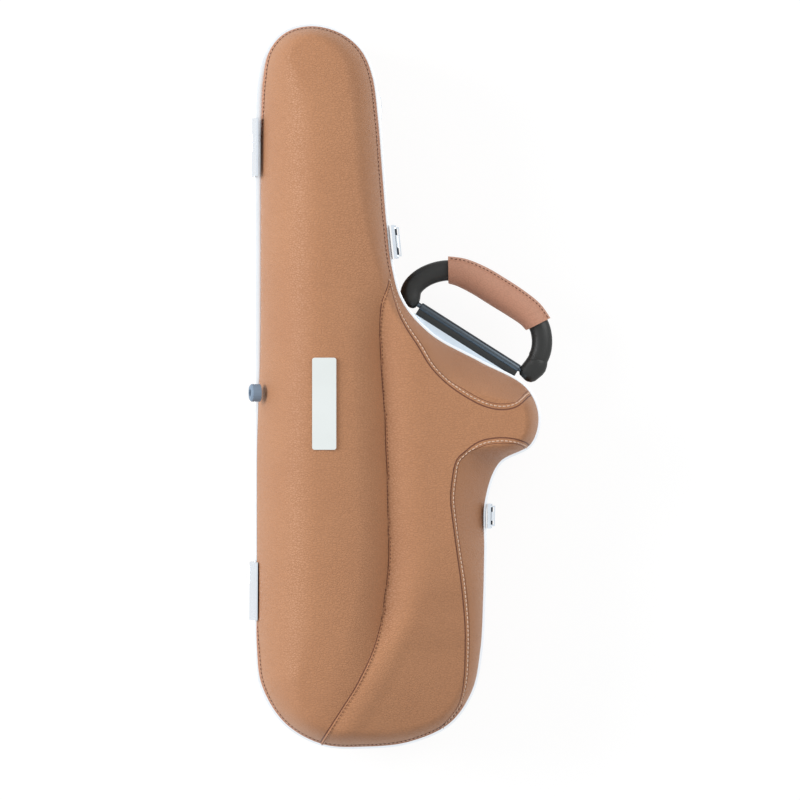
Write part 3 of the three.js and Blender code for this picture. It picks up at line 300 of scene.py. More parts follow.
# The lid's leather is rounder than its solids: on the spine side it curves all the way to the crown, and each
# crescent falls straight from its seam. Along the neck its edge is tucked in behind the hinges
marks_at = np.arange(len(ring)) / STEPS
spine_wall = ring[:, 2] * (1 + SPINE_GROWTH * stretch(marks_at, *SPINE_STRETCH))
bell_wall = np.minimum(ring[:, 2], BELL_WALL) * (1 + NECK_GROWTH * stretch(marks_at, *NECK_STRETCH))
lid_wall = np.where(marks_at < COUNT / 2, spine_wall, bell_wall)
reach = np.maximum(seam_reach(HANDLE_SEAM, *HANDLE_CRESCENT), seam_reach(SIDE_SEAM, *SIDE_CRESCENT))
lid_slope = softened(smooth(*SLOPE_SHARES, reach / lid_wall), 14)
lid_wall = (lid_wall ** WALL_BLEND + reach ** WALL_BLEND) ** (1 / WALL_BLEND)
lid_wall = kept_in_order(softened(lid_wall, 8))
tuck = TUCK * stretch(marks_at, *TUCK_STRETCH)
ring = np.column_stack([ring, lid_wall, lid_slope, tuck])


class Half:
    """The lid (turn 1) or the base (turn -1)"""
    def __init__(self, turn, rim):
        self.turn = turn
        self.rim = rim

    def face(self, x, y):
        return lid_face(x, y) if self.turn > 0 else np.zeros_like(x)

    def wall(self, side, places, sizes):
        """How wide the wall is in plan, and how blunt its section"""
        if self.turn > 0:
            return sizes[:, 1], LID_BLUNTNESS - sizes[:, 2]
        wall = sizes[:, 0]
        crescent = stretch(places, *BASE_CRESCENT) if side > 0 else np.zeros_like(places)
        width = np.minimum(np.maximum(wall, BASE_WALL), wall * BASE_WALL_GROWTH)
        return width, BASE_BLUNTNESS - CRESCENT_SOFTENING * crescent

    def height(self, plan, share, blunt, inset=0):
        """How high the skin is at a point a share of the way up the wall"""
        top = self.face(plan[:, 0], plan[:, 1]) - self.turn * inset - self.rim
        return self.rim + top * (1 - (1 - share) ** blunt) ** (1 / blunt)


LID, BASE = Half(1, LID_RIM), Half(-1, BASE_RIM)
LOW_LEVELS_SHARE = 0.4
UNCREASED_SHARE, CREASED_SHARES = 0.8, (0.06, 0.94)

# Grids: rows, levels of the walls, and columns over the body tube and over the bulge
LID_GRID, BASE_GRID, LINING_GRID = (360, 33, 44, 60), (240, 18, 6, 6), (180, 12, 18, 20)


def half_grid(half, inset, rows, levels, tube, bulge):
    """Rows of points over one half, from the rim on the spine, over the face, to the rim on the bell side"""
    places = np.linspace(0, COUNT / 2, rows)
    walls = []
    for side in (-1, 1):
        at, sizes, inward = outline_at(side, places)
        width, blunt = half.wall(side, places, sizes)
        width = np.maximum(width, inset + LEAST_WALL)
        if half is LID:
            at = at + inward * sizes[:, 3:]
        first = np.minimum(SEAM_INSET / (width - inset), LOW_LEVELS_SHARE)
        shares = [first * s for s in np.linspace(0, 1, levels // 3) ** 2]
        shares += [first + (1 - first) * s for s in np.linspace(0, 1, levels - levels // 3 + 1)[1:]]
        line = []
        for share in shares:
            plan = at + inward * (inset + share * (width - inset))[:, None]
            line.append(np.column_stack([plan, half.height(plan, share, blunt, inset)]))
        walls.append(np.stack(line, 1))
    left, right = walls
    start, end = left[:, -1], right[:, -1]
    span = end[:, 0] - start[:, 0]
    middle = (start[:, 1] + end[:, 1]) / 2
    turn = np.where(span > 1, (crease_x(middle) - start[:, 0]) / np.maximum(span, 1), UNCREASED_SHARE)
    split = np.where(turn > 1, UNCREASED_SHARE, np.clip(turn, *CREASED_SHARES))
    shares = [split * s for s in np.linspace(0, 1, tube + 1)[1:]]
    shares += [split + (1 - split) * s for s in np.linspace(0, 1, bulge + 1)[1:-1]]
    across = []
    for share in shares:
        plan = start[:, :2] + (end - start)[:, :2] * share[:, None]
        z = half.face(plan[:, 0], plan[:, 1]) - half.turn * inset
        across.append(np.column_stack([plan, z]))
    return np.concatenate([left, np.stack(across, 1), right[:, ::-1]], 1)


def grid_faces(rows, columns, flip=False):
    r, c = np.meshgrid(np.arange(rows - 1), np.arange(columns - 1), indexing="ij")
    a = r * columns + c
    quads = np.stack([a, a + columns, a + columns + 1, a + 1], -1).reshape(-1, 4)
    return quads[:, ::-1] if flip else quads


# Making pieces

SHARP_ANGLE = math.radians(65)


def piece(name, points, faces, body, slot, material, replaces=(), normals=None):
    """A smooth piece that moves with a body and takes the place of the solids that it replaces"""
    mesh = bpy.data.meshes.new(name)
    faces = faces if isinstance(faces, list) else faces.tolist()
    mesh.from_pydata((np.asarray(points) * MM).tolist(), [], faces)
    mesh.validate()
    mesh.update()
    obj = bpy.data.objects.new(name, mesh)
    bpy.context.scene.collection.objects.link(obj)
    mesh.materials.append(material)
    mesh.polygons.foreach_set("use_smooth", [True] * len(mesh.polygons))
    if normals is None:
        mesh.set_sharp_from_angle(angle=SHARP_ANGLE)
    else:
        mesh.normals_split_custom_set_from_vertices(normals)
    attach(obj, body)
    if replaces:
        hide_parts(*replaces)
    return obj


def sweep(path, profile, up=(0, 0, 1), scale=None):
    """A tube along a path, its section given as points in (side, up) directions, with flat ends"""
    path = np.asarray(path, float)
    profile = np.asarray(profile, float)
    count, sides = len(path), len(profile)
    ahead = unit(np.gradient(path, axis=0))
    side = unit(np.cross(ahead, np.broadcast_to(np.asarray(up, float), ahead.shape)))
    above = np.cross(side, ahead)
    size = np.ones((count, 2)) if scale is None else np.asarray(scale, float)
    points = (path[:, None]
              + side[:, None] * profile[None, :, :1] * size[:, None, :1]
              + above[:, None] * profile[None, :, 1:] * size[:, None, 1:]).reshape(-1, 3)
    faces = []
    for i in range(count - 1):
        for k in range(sides):
            m = (k + 1) % sides
            faces.append([i * sides + k, i * sides + m, (i + 1) * sides + m, (i + 1) * sides + k])
    faces.append(list(range(sides))[::-1])
    faces.append([(count - 1) * sides + k for k in range(sides)])
    return points, faces


def circle(radius, sides):
    angles = np.arange(sides) / sides * 2 * math.pi
    return np.column_stack([radius * np.cos(angles), radius * np.sin(angles)])


def joined(parts):
    """Several (points, faces) sets as one"""
    points, faces, start = [], [], 0
    for more, rows in parts:
        points.append(np.asarray(more))
        faces += [[i + start for i in row] for row in rows]
        start += len(more)
    return np.concatenate(points), faces


def reach_along(path):
    """How far each point of a path lies along it"""
    return np.concatenate([[0], np.cumsum(np.linalg.norm(np.diff(path, axis=0), axis=1))])


def at_reach(at, reach, values):
    """Values along a path, read at other distances along it"""
    return np.column_stack([np.interp(at, reach, values[:, k]) for k in range(values.shape[1])])


def resample(path, step):
    """The same path with points an even step apart"""
    path = np.asarray(path, float)
    reach = reach_along(path)
    count = max(2, int(round(reach[-1] / step)) + 1)
    return at_reach(np.linspace(0, reach[-1], count), reach, path)


# Materials

def linear(rgb):
    """The linear colour of a picture's colour"""
    shares = [value / 255 for value in rgb]
    return tuple(c / 12.92 if c <= 0.04045 else ((c + 0.055) / 1.055) ** 2.4 for c in shares) + (1,)


class Graph:
    """The nodes of a material or the world. Each call adds a node and gives back one of its outputs"""
    def __init__(self, tree):
        self.tree = tree
        self.place = self.add("TexCoord", output="Object")

    def feed(self, made, inputs):
        """Gives a node's inputs their values, or links them to outputs"""
        for key, value in inputs.items():
            if isinstance(value, bpy.types.NodeSocket):
                self.tree.links.new(value, made.inputs[key])
            else:
                made.inputs[key].default_value = value

    def add(self, kind, inputs=None, output=0, **settings):
        made = self.tree.nodes.new("ShaderNode" + kind)
        for key, value in settings.items():
            setattr(made, key, value)
        self.feed(made, inputs or {})
        return made.outputs[output]

    def math(self, first, second, operation):
        return self.add("Math", {0: first, 1: second}, operation=operation)

    def vector(self, first, inputs, operation):
        return self.add("VectorMath", {0: first, **inputs}, operation=operation)

    def stretched(self, vector, scale):
        return self.add("Mapping", {"Vector": vector, "Scale": scale})

    def noise(self, scale, detail, rough=0.5, vector=None, output="Fac"):
        inputs = {"Vector": self.place if vector is None else vector, "Scale": scale, "Detail": detail}
        return self.add("TexNoise", {**inputs, "Roughness": rough}, output)

    def mapped(self, value, low, high, start=0.0, end=1.0, **settings):
        return self.add("MapRange", {"Value": value, "From Min": start, "From Max": end, "To Min": low,
                                     "To Max": high}, **settings)

    def tint(self, color, scale):
        return self.vector(color, {"Scale": scale}, "SCALE")

    def between(self, dark, light, share):
        """A colour between two colours"""
        return self.add("Mix", {0: share, 6: linear(dark), 7: linear(light)}, output=2, data_type="RGBA")

    def bump(self, height, strength, distance, **under):
        return self.add("Bump", {"Height": height, "Strength": strength, "Distance": distance, **under})


def new_material(name):
    material = bpy.data.materials.new(name)
    material.use_nodes = True
    return material, Graph(material.node_tree), material.node_tree.nodes["Principled BSDF"]


def leather_material(name, light, dark, rough=0.5, grain=1.0):
    """Fine pebbled leather: rounded grain cells, a slow change of tone, and darker pits"""
    material, graph, shader = new_material(name)
    bent = graph.vector(graph.noise(260, 2, output="Color"), {1: (0.0012, 0.0012, 0.0012)}, "MULTIPLY")
    flat = graph.stretched(graph.vector(graph.place, {1: bent}, "ADD"), (0.5, 1.1, 1))
    cells = graph.add("TexVoronoi", {"Vector": flat, "Scale": 560}, "Distance", feature="DISTANCE_TO_EDGE")
    pebble = graph.mapped(cells, 0, 1, end=0.16, interpolation_type="SMOOTHSTEP")
    cloud = graph.noise(14, 3, 0.6)
    pores = graph.bump(graph.noise(2200, 3), 0.12 * grain, 0.0003)
    graph.feed(shader, {
        "Base Color": graph.tint(graph.between(dark, light, cloud), graph.mapped(pebble, 0.91, 1.02)),
        "Roughness": graph.mapped(pebble, rough + 0.12, rough),
        "Normal": graph.bump(pebble, 0.5 * grain, 0.0005, Normal=pores),
        "Specular IOR Level": 0.38, "Sheen Weight": 0.09, "Sheen Roughness": 0.5,
    })
    return material


def plain_material(name, color, rough, metallic=0, spread=0.06, scale=900, bump=0.06, stretched=(1, 1, 1)):
    """Moulded plastic, rubber or metal: fine noise in tone, roughness and height"""
    material, graph, shader = new_material(name)
    fine = graph.noise(scale, 3, vector=graph.stretched(graph.place, stretched))
    both = graph.math(fine, graph.noise(30, 2), "ADD")
    graph.feed(shader, {
        "Base Color": graph.tint(linear(color)[:3], graph.mapped(both, 1 - spread, 1 + spread, 0.6, 1.4)),
        "Roughness": graph.mapped(both, rough * 0.9, min(1, rough * 1.1), 0.6, 1.4),
        "Normal": graph.bump(fine, bump, 0.0002),
        "Metallic": metallic,
    })
    return material


def plush_material(name, light, dark):
    """Short-pile plush over foam"""
    material, graph, shader = new_material(name)
    pile, nap = graph.noise(1400, 4, 0.7), graph.noise(45, 4, 0.65)
    graph.feed(shader, {
        "Base Color": graph.between(dark, light, graph.mapped(graph.math(pile, nap, "ADD"), 0, 1, 0.65, 1.35)),
        "Normal": graph.bump(pile, 0.5, 0.0008),
        "Roughness": 0.95, "Sheen Weight": 0.35, "Sheen Roughness": 0.4, "Specular IOR Level": 0.2,
    })
    return material


def thread_material(name, color):
    """Twisted thread"""
    material, graph, shader = new_material(name)
    twist = graph.add("TexWave", {"Vector": graph.place, "Scale": 700, "Distortion": 3}, "Fac")
    graph.feed(shader, {
        "Base Color": graph.tint(linear(color)[:3], graph.mapped(twist, 0.86, 1.04)),
        "Normal": graph.bump(twist, 0.3, 0.0001),
        "Roughness": 0.7,
    })
    return material


tan = leather_material("tan_leather", (191, 137, 98), (181, 126, 89))
grip_tan = leather_material("grip_leather", (214, 160, 134), (202, 147, 121), grain=0.6)
welt_tan = leather_material("welt_leather", (196, 140, 114), (182, 124, 98), rough=0.55, grain=0.5)
# The seam strips' dark leather is painted shade: it stands in for the shade in the seams' grooves and beside
# the panels' folded edges
seam_shade_tan = leather_material("painted_seam_shade", (122, 76, 54), (104, 62, 44), rough=0.6, grain=0.3)
cream = thread_material("cream_thread", (236, 206, 184))
brown = thread_material("brown_thread", (122, 78, 56))
satin = plain_material("satin_aluminium", (236, 241, 246), 0.3, metallic=1, spread=0.03, scale=500, bump=0.04,
                       stretched=(1, 1, 12))
# The saddle is the same satin aluminium as the belts. Its darker, bluer tone is a painted reflection, and its
# brushed streaks are its own finish
saddle_satin_with_painted_reflection = plain_material("saddle_satin_with_painted_reflection", (212, 225, 236), 0.35, metallic=1, spread=0.03, scale=500,
                              bump=0.04, stretched=(1, 1, 12))
plate_satin = plain_material("plate_satin", (228, 233, 231), 0.45, metallic=0.15, spread=0.03, scale=700,
                             bump=0.05, stretched=(20, 1, 20))
bright = plain_material("bright_plating", (220, 228, 236), 0.2, metallic=1, spread=0.04, scale=300, bump=0.02)
steel = plain_material("dark_steel", (78, 86, 93), 0.34, metallic=0.9, spread=0.05, scale=400, bump=0.03,
                       stretched=(6, 6, 6))
black = plain_material("black_plastic", (29, 31, 30), 0.42, spread=0.08, scale=1100, bump=0.08)
grey_rubber = plain_material("grey_rubber", (125, 144, 164), 0.7, scale=800, bump=0.1)
seal_rubber = plain_material("seal_rubber", (28, 28, 29), 0.85, spread=0.08, scale=800, bump=0.1)
shell_plastic = plain_material("shell_plastic", (52, 49, 46), 0.6, spread=0.08, scale=300, bump=0.1)
plush = plush_material("plush_lining", (74, 60, 52), (46, 37, 33))


# Leather skins

def vertex_normals(points, faces):
    corners = points[faces]
    flat = np.cross(corners[:, 2] - corners[:, 0], corners[:, 3] - corners[:, 1])
    normals = np.zeros_like(points)
    for k in range(4):
        np.add.at(normals, faces[:, k], flat)
    return normals / np.maximum(np.linalg.norm(normals, axis=1, keepdims=True), 1e-9)


def skin(half, counts, flip=False):
    """Points, faces and the faces' centres of a half's leather"""
    grid = half_grid(half, 0, *counts)
    points = grid.reshape(-1, 3)
    faces = grid_faces(*grid.shape[:2], flip)
    return points, faces, points[faces].mean(1)


def split_skin(points, faces, labels, panels, body):
    """One skin as several panels that share their edges and their shading"""
    normals = vertex_normals(points, faces)
    for label, (name, node_name) in enumerate(panels):
        mine = faces[labels == label]
        used, index = np.unique(mine, return_inverse=True)
        piece(name, points[used], index.reshape(mine.shape), body, "leather", tan, [node_name],
              normals=normals[used])


# Each seam of the lid, with the corners outside the case that close the region behind it
SEAM_REGIONS = [
    (2, SIDE_SEAM, [[1.2, 1.1], [1.2, 0.6]]),
    (1, HANDLE_SEAM, [[1.2, 0.49], [1.2, 0.2], [0.43, 0.2]]),
    (0, CREASE, [[-0.2, 1.1], [-0.2, -0.1], [1.2, -0.1], [1.2, 0.28]]),
]
LID_PANELS = [
    ("body_panel", "lid_cover_body"), ("handle_side_panel", "lid_cover_handle_side"),
    ("side_panel", "lid_cover_side"), ("bell_panel", "lid_cover_bell"),
]
BASE_PANELS = [
    ("back_panel", "base_cover_back"), ("spine_wall_panel", "base_cover_spine_side"),
    ("bell_wall_panel", "base_cover_bell_side"),
]
BACK_HEIGHT = 12

lid_points, lid_faces, centres = skin(LID, LID_GRID)
labels = np.full(len(lid_faces), 3)
for label, seam, corners in SEAM_REGIONS:
    labels[inside_shape(centres, np.concatenate([spline(seam), plan_points(corners)]))] = label
split_skin(lid_points, lid_faces, labels, LID_PANELS, "lid")

points, faces, centres = skin(BASE, BASE_GRID, flip=True)
apex, foot = plan_x(NECK_END[0]), plan_x(FOOT_END[0])
split_x = foot + (apex - foot) * (centres[:, 1] + CREST_Y) / LENGTH
labels = np.where(centres[:, 2] < BACK_HEIGHT, 0, np.where(centres[:, 0] < split_x, 1, 2))
split_skin(points, faces, labels, BASE_PANELS, "base")


# Belts and seal that follow the outline

BELT_STEP, BELT_ROUNDING = 0.5, 0.35
SEAL_DEPTH, SEAL_WIDTH, SEAL_ROUNDING = 1.8, 2.2, 0.5


def outline_ring(section, count=520):
    """A closed ring along the outline, its section given as points in (outwards, height)"""
    index = (np.arange(count) / count * COUNT * STEPS).astype(int) % len(ring)
    sides = len(section)
    plan = ring[index][:, None, :2] - ring_normals[index][:, None] * section[None, :, :1]
    height = np.broadcast_to(section[None, :, 1:], (count, sides, 1))
    points = np.concatenate([plan, height], -1).reshape(-1, 3)
    faces = []
    for i in range(count):
        j = (i + 1) % count
        for k in range(sides):
            m = (k + 1) % sides
            faces.append([i * sides + k, j * sides + k, j * sides + m, i * sides + m])
    return points, faces


def belt_section(low, high, foot, head, inside):
    """A belt's section: two lips with a shallow groove between them, at heights over low and under high"""
    groove = BELT_PROUD - BELT_STEP
    return rounded([
        [-BELT_INSIDE, low], [BELT_PROUD, low], [BELT_PROUD, low + foot[0]], [groove, low + foot[1]],
        [groove, high - head[1]], [BELT_PROUD, high - head[0]], [BELT_PROUD, high], *inside,
    ], BELT_ROUNDING)


rebate = SEAM - SEAL_DEPTH - GAP
inner = SEAL_WIDTH + 2 * GAP - BELT_INSIDE
lid_top = LID_RIM - GAP
base_section = belt_section(BASE_RIM + GAP, SEAM, (1.6, 2), (0.9, 1.2),
                            [[inner, SEAM], [inner, rebate], [-BELT_INSIDE, rebate]])
lid_section = belt_section(SEAM + GAP, lid_top, (1, 1.4), (1.6, 2), [[-BELT_INSIDE, lid_top]])
seal_left, seal_right, seal_foot = GAP - BELT_INSIDE, inner - GAP, rebate + GAP
seal_section = rounded([
    [seal_left, seal_foot], [seal_right, seal_foot], [seal_right, SEAM], [seal_left, SEAM],
], SEAL_ROUNDING)
piece("base_edge", *outline_ring(base_section), "base", "belt", satin, ["base_belt"])
piece("belt_seal", *outline_ring(seal_section), "base", "seal", seal_rubber, ["rim_seal"])
piece("lid_edge", *outline_ring(lid_section), "lid", "belt", satin, ["lid_belt"])


# Seams on the lid, with painted shade in their grooves, and stitches

# Sections of the strips that lie on the leather, as points in (side, height). The groove and fine-line strips
# are dark: painted shade in the seams' grooves and along the panels' folded edges
GROOVE = [[-0.65, 0.02], [-0.35, 0.12], [0, 0.06], [0.35, 0.12], [0.65, 0.02]]
WALL_GROOVE = [[-0.7, 0.02], [-0.35, 0.12], [0, 0.06], [0.35, 0.12], [0.7, 0.02]]
FINE_LINE = [[-0.3, 0.02], [0, 0.12], [0.3, 0.02]]
CREASE_FOLD = [[-4.2, -0.2], [-3.6, 0.35], [-2.6, 0.7], [-1.6, 0.75], [-0.9, 0.5], [-0.7, 0]]
WELT = [[-0.9, -0.1], [-0.6, 0.35], [0, 0.55], [0.6, 0.35], [0.9, -0.1]]
GRIP_FOLD = [[-2.2, -0.3], [-1.9, 0.4], [-1.2, 0.7], [1.2, 0.7], [1.9, 0.4], [2.2, -0.3]]

# Rows of stitches, as how far beside their line they run, their length, their pitch and the thread's radius
CREASE_ROW = 0, 2.2, 3.6, 0.32
PANEL_ROW = 0, 3.1, 3.9, 0.48
WALL_ROW = 1.1, 2.4, 3.8, 0.36
GRIP_ROW = 0, 2.6, 3.8, 0.42

CREASE_START_SHARE, CREASE_ROW_PLACE, CREASE_ROW_RISE = 0.352, -2.3, 0.75
PANEL_ROW_PLACE, FINE_LINE_PLACE = -2.8, -4.9
SEAM_MARGIN, SEAM_STEP, WALL_STEP = SEAM_INSET - 0.6, 1.5, 1.2
WALL_START, WALL_LEVELS = 4, 24
WELT_INSET = 1.4
ABOVE_ALL = 400

lid_tree = BVHTree.FromPolygons(lid_points.tolist(), lid_faces.tolist())


def dropped(path):
    """Points of a plan path dropped onto the lid"""
    hits = [lid_tree.ray_cast(Vector((x, y, ABOVE_ALL)), Vector((0, 0, -1)))[0] for x, y in path[:, :2]]
    return np.array([hit for hit in hits if hit is not None])


def onto_lid(points):
    """Points moved onto the lid's nearest skin, with its softened normals there"""
    found = [lid_tree.find_nearest(Vector(point))[:2] for point in points]
    out = np.array([hit for hit, _ in found])
    tilt = np.array([normal if normal.z > 0 else -normal for _, normal in found])
    soft = np.array([tilt[max(0, i - 2):i + 3].mean(0) for i in range(len(tilt))])
    return out, unit(soft)


def beside(path, normals):
    """Directions square to a path along the surface that it lies on"""
    return unit(np.cross(unit(np.gradient(path, axis=0)), normals))


def moved_over(path, normals, offset):
    """The same path moved sideways over the lid"""
    return onto_lid(path + beside(path, normals) * offset)


def ribbon(path, normals, section):
    """A strip lying on a surface, its section given as points in (side, height)"""
    side = beside(path, normals)
    section = np.asarray(section, float)
    points = path[:, None] + side[:, None] * section[None, :, :1] + normals[:, None] * section[None, :, 1:]
    count, sides = len(path), len(section)
    faces = []
    for i in range(count - 1):
        for a in range(i * sides, i * sides + sides - 1):
            faces.append([a, a + 1, a + sides + 1, a + sides])
    return points.reshape(-1, 3), faces


def stitches(path, normals, offset, length, pitch, radius):
    """A row of stitches beside a path, each a short thread that dips in at both ends"""
    line = path + beside(path, normals) * offset
    reach = reach_along(line)
    arch = np.array([-0.8, 0.56, 0.96, 0.56, -0.8])[:, None] * radius
    size = np.array([0.55, 1, 1, 1, 0.55])[:, None].repeat(2, 1)
    section = circle(radius, 6)
    parts = []
    for start in np.arange(pitch / 2, reach[-1] - length, pitch):
        at = start + np.linspace(0, 1, 5) * length
        up = at_reach(at, reach, normals)
        parts.append(sweep(at_reach(at, reach, line) + up * arch, section, up=up[2], scale=size))
    return joined(parts)


def inside_outline(path, margin):
    """The stretch of a path that lies inside the outline by a margin"""
    gap = np.sqrt(((path[:, None, :2] - ring[None, ::2, :2]) ** 2).sum(-1)).min(1)
    return path[inside_shape(path, ring[::4, :2]) & (gap > margin)]


def wall_points(index, insets):
    """Points on the lid's wall at distances in from the outline, beside points of the outline"""
    width, slope, tuck = (ring[index, k] for k in (3, 4, 5))
    plan = ring[index, :2] + ring_normals[index] * (insets + tuck)[:, None]
    return np.column_stack([plan, LID.height(plan, insets / width, LID_BLUNTNESS - slope)])


def down_the_wall(path):
    """A path over the lid, each end that comes near the outline carried on down the wall to the belt"""
    for _ in range(2):
        path = path[::-1]
        gaps = np.hypot(*(ring[:, :2] - path[-1, :2]).T)
        nearest = int(np.argmin(gaps))
        if gaps[nearest] < WALL_START:
            insets = gaps[nearest] * np.linspace(0.97, 0.02, WALL_LEVELS) ** 2
            path = np.vstack([path, wall_points(np.full(WALL_LEVELS, nearest), insets)])
    return resample(path, WALL_STEP)


for name, shares in (("handle", HANDLE_SEAM), ("side", SIDE_SEAM), ("crease", CREASE)):
    path = inside_outline(resample(spline(shares, 12), SEAM_STEP), SEAM_MARGIN)
    if name == "crease":
        path = path[path[:, 1] < plan_y(CREASE_START_SHARE)]
    path, normals = onto_lid(down_the_wall(dropped(path)))
    piece(f"{name}_seam", *ribbon(path, normals, GROOVE), "lid", "leather", seam_shade_tan)
    if name == "crease":
        piece("crease_fold", *ribbon(path, normals, CREASE_FOLD), "lid", "leather", tan)
        line, tilt = moved_over(path, normals, CREASE_ROW_PLACE)
        row = stitches(line + tilt * CREASE_ROW_RISE, tilt, *CREASE_ROW)
        piece("crease_stitches", *row, "lid", "leather", brown)
    else:
        row = stitches(*moved_over(path, normals, PANEL_ROW_PLACE), *PANEL_ROW)
        piece(f"{name}_stitches", *row, "lid", "leather", cream)
        # A fine dark line of painted shade along the panel's folded edge
        line = ribbon(*moved_over(path, normals, FINE_LINE_PLACE), FINE_LINE)
        piece(f"{name}_line", *line, "lid", "leather", seam_shade_tan)

# Seam between the face and the wall of the lid, a dark strip of painted shade in its groove. On the spine it
# runs low down on the wall, out of sight from above, and beside the bell, where the panels reach the belt,
# there is none
beside_bell = (marks_at > COUNT - BELL_PANELS[1]) & (marks_at < COUNT - BELL_PANELS[0])
on_spine = (marks_at > HIDDEN_SPINE[0]) & (marks_at < HIDDEN_SPINE[1])
lowered = 1 - LOW_SEAM_DROP_SHARE * stretch(marks_at, *LOW_SEAM_STRETCH)
everywhere = np.arange(len(ring))
wall_seam, wall_normals = onto_lid(wall_points(everywhere, SEAM_INSET * lowered))
welt, welt_normals = onto_lid(wall_points(everywhere, WELT_INSET * lowered))


def runs_of(keep):
    """The runs of neighbouring points of the ring that are kept"""
    order = np.roll(everywhere, -int(np.argmin(keep)))
    edges = np.flatnonzero(np.diff(keep[order].astype(int))) + 1
    return [run for run in np.split(order, edges) if keep[run[0]]]


seen_runs = runs_of(~beside_bell & ~on_spine)
strips = [ribbon(wall_seam[run], wall_normals[run], WALL_GROOVE) for run in runs_of(~beside_bell)]
threads = [stitches(wall_seam[run], wall_normals[run], *WALL_ROW) for run in seen_runs]
welts = [ribbon(welt[run], welt_normals[run], WELT) for run in seen_runs]
piece("wall_seam", *joined(strips), "lid", "leather", seam_shade_tan)
piece("wall_stitches", *joined(threads), "lid", "leather", brown)
piece("edge_welt", *joined(welts), "lid", "leather", welt_tan)


# Carrying handle, in its own frame: along the bar, outwards, up

HANDLE = np.array([64.843, 43.143, 60.0])
TURN = -0.56692
LOOP_STEP, GRIP_STEP = 2.0, 1.5
COS, SIN = math.cos(TURN), math.sin(TURN)
UP = np.array([0, 0, 1])
LOOP_HALF, LOOP_REACH = 68, 49.6
LOOP_SIZE, LOOP_END_SIZE, LOOP_CORE_SIZE = (9.3, 6.4), (8.9, 6.1), (8.7, 6)
LOOP_END, LOOP_CORE_END = 17.6, 19.5
GRIP_RADIUS, GRIP_SWELL, GRIP_FLARE, GRIP_FLARE_RATE = 12.0, 1.9, 2.4, 14
FOLD_TILT, FOLD_SINK, FOLD_RISE = math.radians(38), 0.2, 0.7
BAR_START, BAR_END, BAR_ROUNDING = -53, 52.4, 0.8
BAR_SECTION = [[1.0, -10], [8.0, -10], [8.0, 2.6], [1.0, 2.6]]
ROD_OUTWARDS, ROD_RADII = 0.9, (3.2, 3.6, 3.8, 3.9)

LOOP = [
    [-0.949, 0.024], [-1, 0.2], [-0.978, 0.403], [-0.89, 0.625], [-0.735, 0.833], [-0.559, 0.94],
    [-0.294, 0.992], [-0.03, 1], [0.265, 1], [0.5, 0.976], [0.676, 0.891], [0.809, 0.718], [0.891, 0.504],
    [0.912, 0.282], [0.897, 0.024],
]
GRIP = [[-0.728, 0.851], *LOOP[5:10], [0.669, 0.899]]

# The feet, as places along the bar and outwards, and the half width and half height there
LEFT_FOOT = [
    [-65.2, -0.6, 9.2, 6.1], [-65.3, -2.2, 8.9, 5.7], [-65.4, -3.6, 8.2, 4.9], [-65.4, -4.6, 7, 3.7],
    [-65.4, -5.2, 5, 2],
]
RIGHT_FOOT = [
    [61.9, 17.2, 8.8, 6], [62.4, 16.3, 9.4, 6.4], [63.2, 14, 9.8, 6.5], [63.7, 11.2, 10.1, 6.4],
    [63.6, 9.4, 9.9, 6.3], [62.9, 6, 9.5, 6.2], [62.1, 2.7, 9.1, 6.2], [61.1, 1.2, 8.4, 6],
    [60.2, -0.3, 7.4, 5.6], [59.5, -1.7, 6.4, 5], [59, -2.9, 5.2, 4], [58.8, -3.7, 3.4, 2.2],
]


def handle_part(name, part, body, slot, material, replaces=()):
    """A piece from (points, faces) in the handle's own frame"""
    x, y, z = np.asarray(part[0], float).T
    place = np.column_stack([HANDLE[0] + x * COS - y * SIN, HANDLE[1] + x * SIN + y * COS, HANDLE[2] + z])
    return piece(name, place, part[1], body, slot, material, replaces)


def handle_curve(shares, steps=10):
    """A smooth curve through points given as shares of the loop's half length and reach"""
    control = np.array([[a * LOOP_HALF, b * LOOP_REACH, 0] for a, b in shares])
    ends = np.concatenate([2 * control[:1] - control[1:2], control, 2 * control[-1:] - control[-2:-1]])
    out = [centripetal(*ends[i:i + 4], steps) for i in range(len(control) - 1)]
    return np.concatenate(out + [control[-1:]])


def cut_at(path, level):
    """The path's part beyond a level and the parts before and after it, each ending on the level"""
    above = path[:, 1] > level
    first, last = np.argmax(above), len(above) - 1 - np.argmax(above[::-1])

    def crossing(a, b):
        return a + (b - a) * (level - a[1]) / (b[1] - a[1])

    start, end = crossing(path[first - 1], path[first]), crossing(path[last], path[last + 1])
    return (np.vstack([start, path[first:last + 1], end]), np.vstack([path[:first], start]),
            np.vstack([end, path[last + 1:]]))


round_section = circle(1, 24)
loop = resample(handle_curve(LOOP), LOOP_STEP)
bow, left_leg, _ = cut_at(loop, LOOP_END)
size = np.tile(LOOP_SIZE, (len(bow), 1))
size[-1] = LOOP_END_SIZE
bow = sweep(bow, round_section, scale=size)
handle_part("handle_bow", bow, "handle", "handle_plastic", black, ["handle_loop"])

# The left foot goes straight on from the loop, the right one is a block of its own. Both close in a blunt end,
# and a core joins each of them to the loop
feet = [[[x, y, *LOOP_SIZE] for x, y, _ in left_leg[::-1]] + LEFT_FOOT, RIGHT_FOOT]
for side, foot, core in zip(("left", "right"), feet, cut_at(loop, LOOP_CORE_END)[1:]):
    foot = np.array(foot)
    path = np.column_stack([foot[:, :2], np.zeros(len(foot))])
    part = joined([sweep(core, round_section, scale=np.tile(LOOP_CORE_SIZE, (len(core), 1))),
                   sweep(path, round_section, scale=foot[:, 2:])])
    handle_part(f"handle_{side}_foot", part, "handle", "handle_plastic", black, [f"handle_{side}_end"])

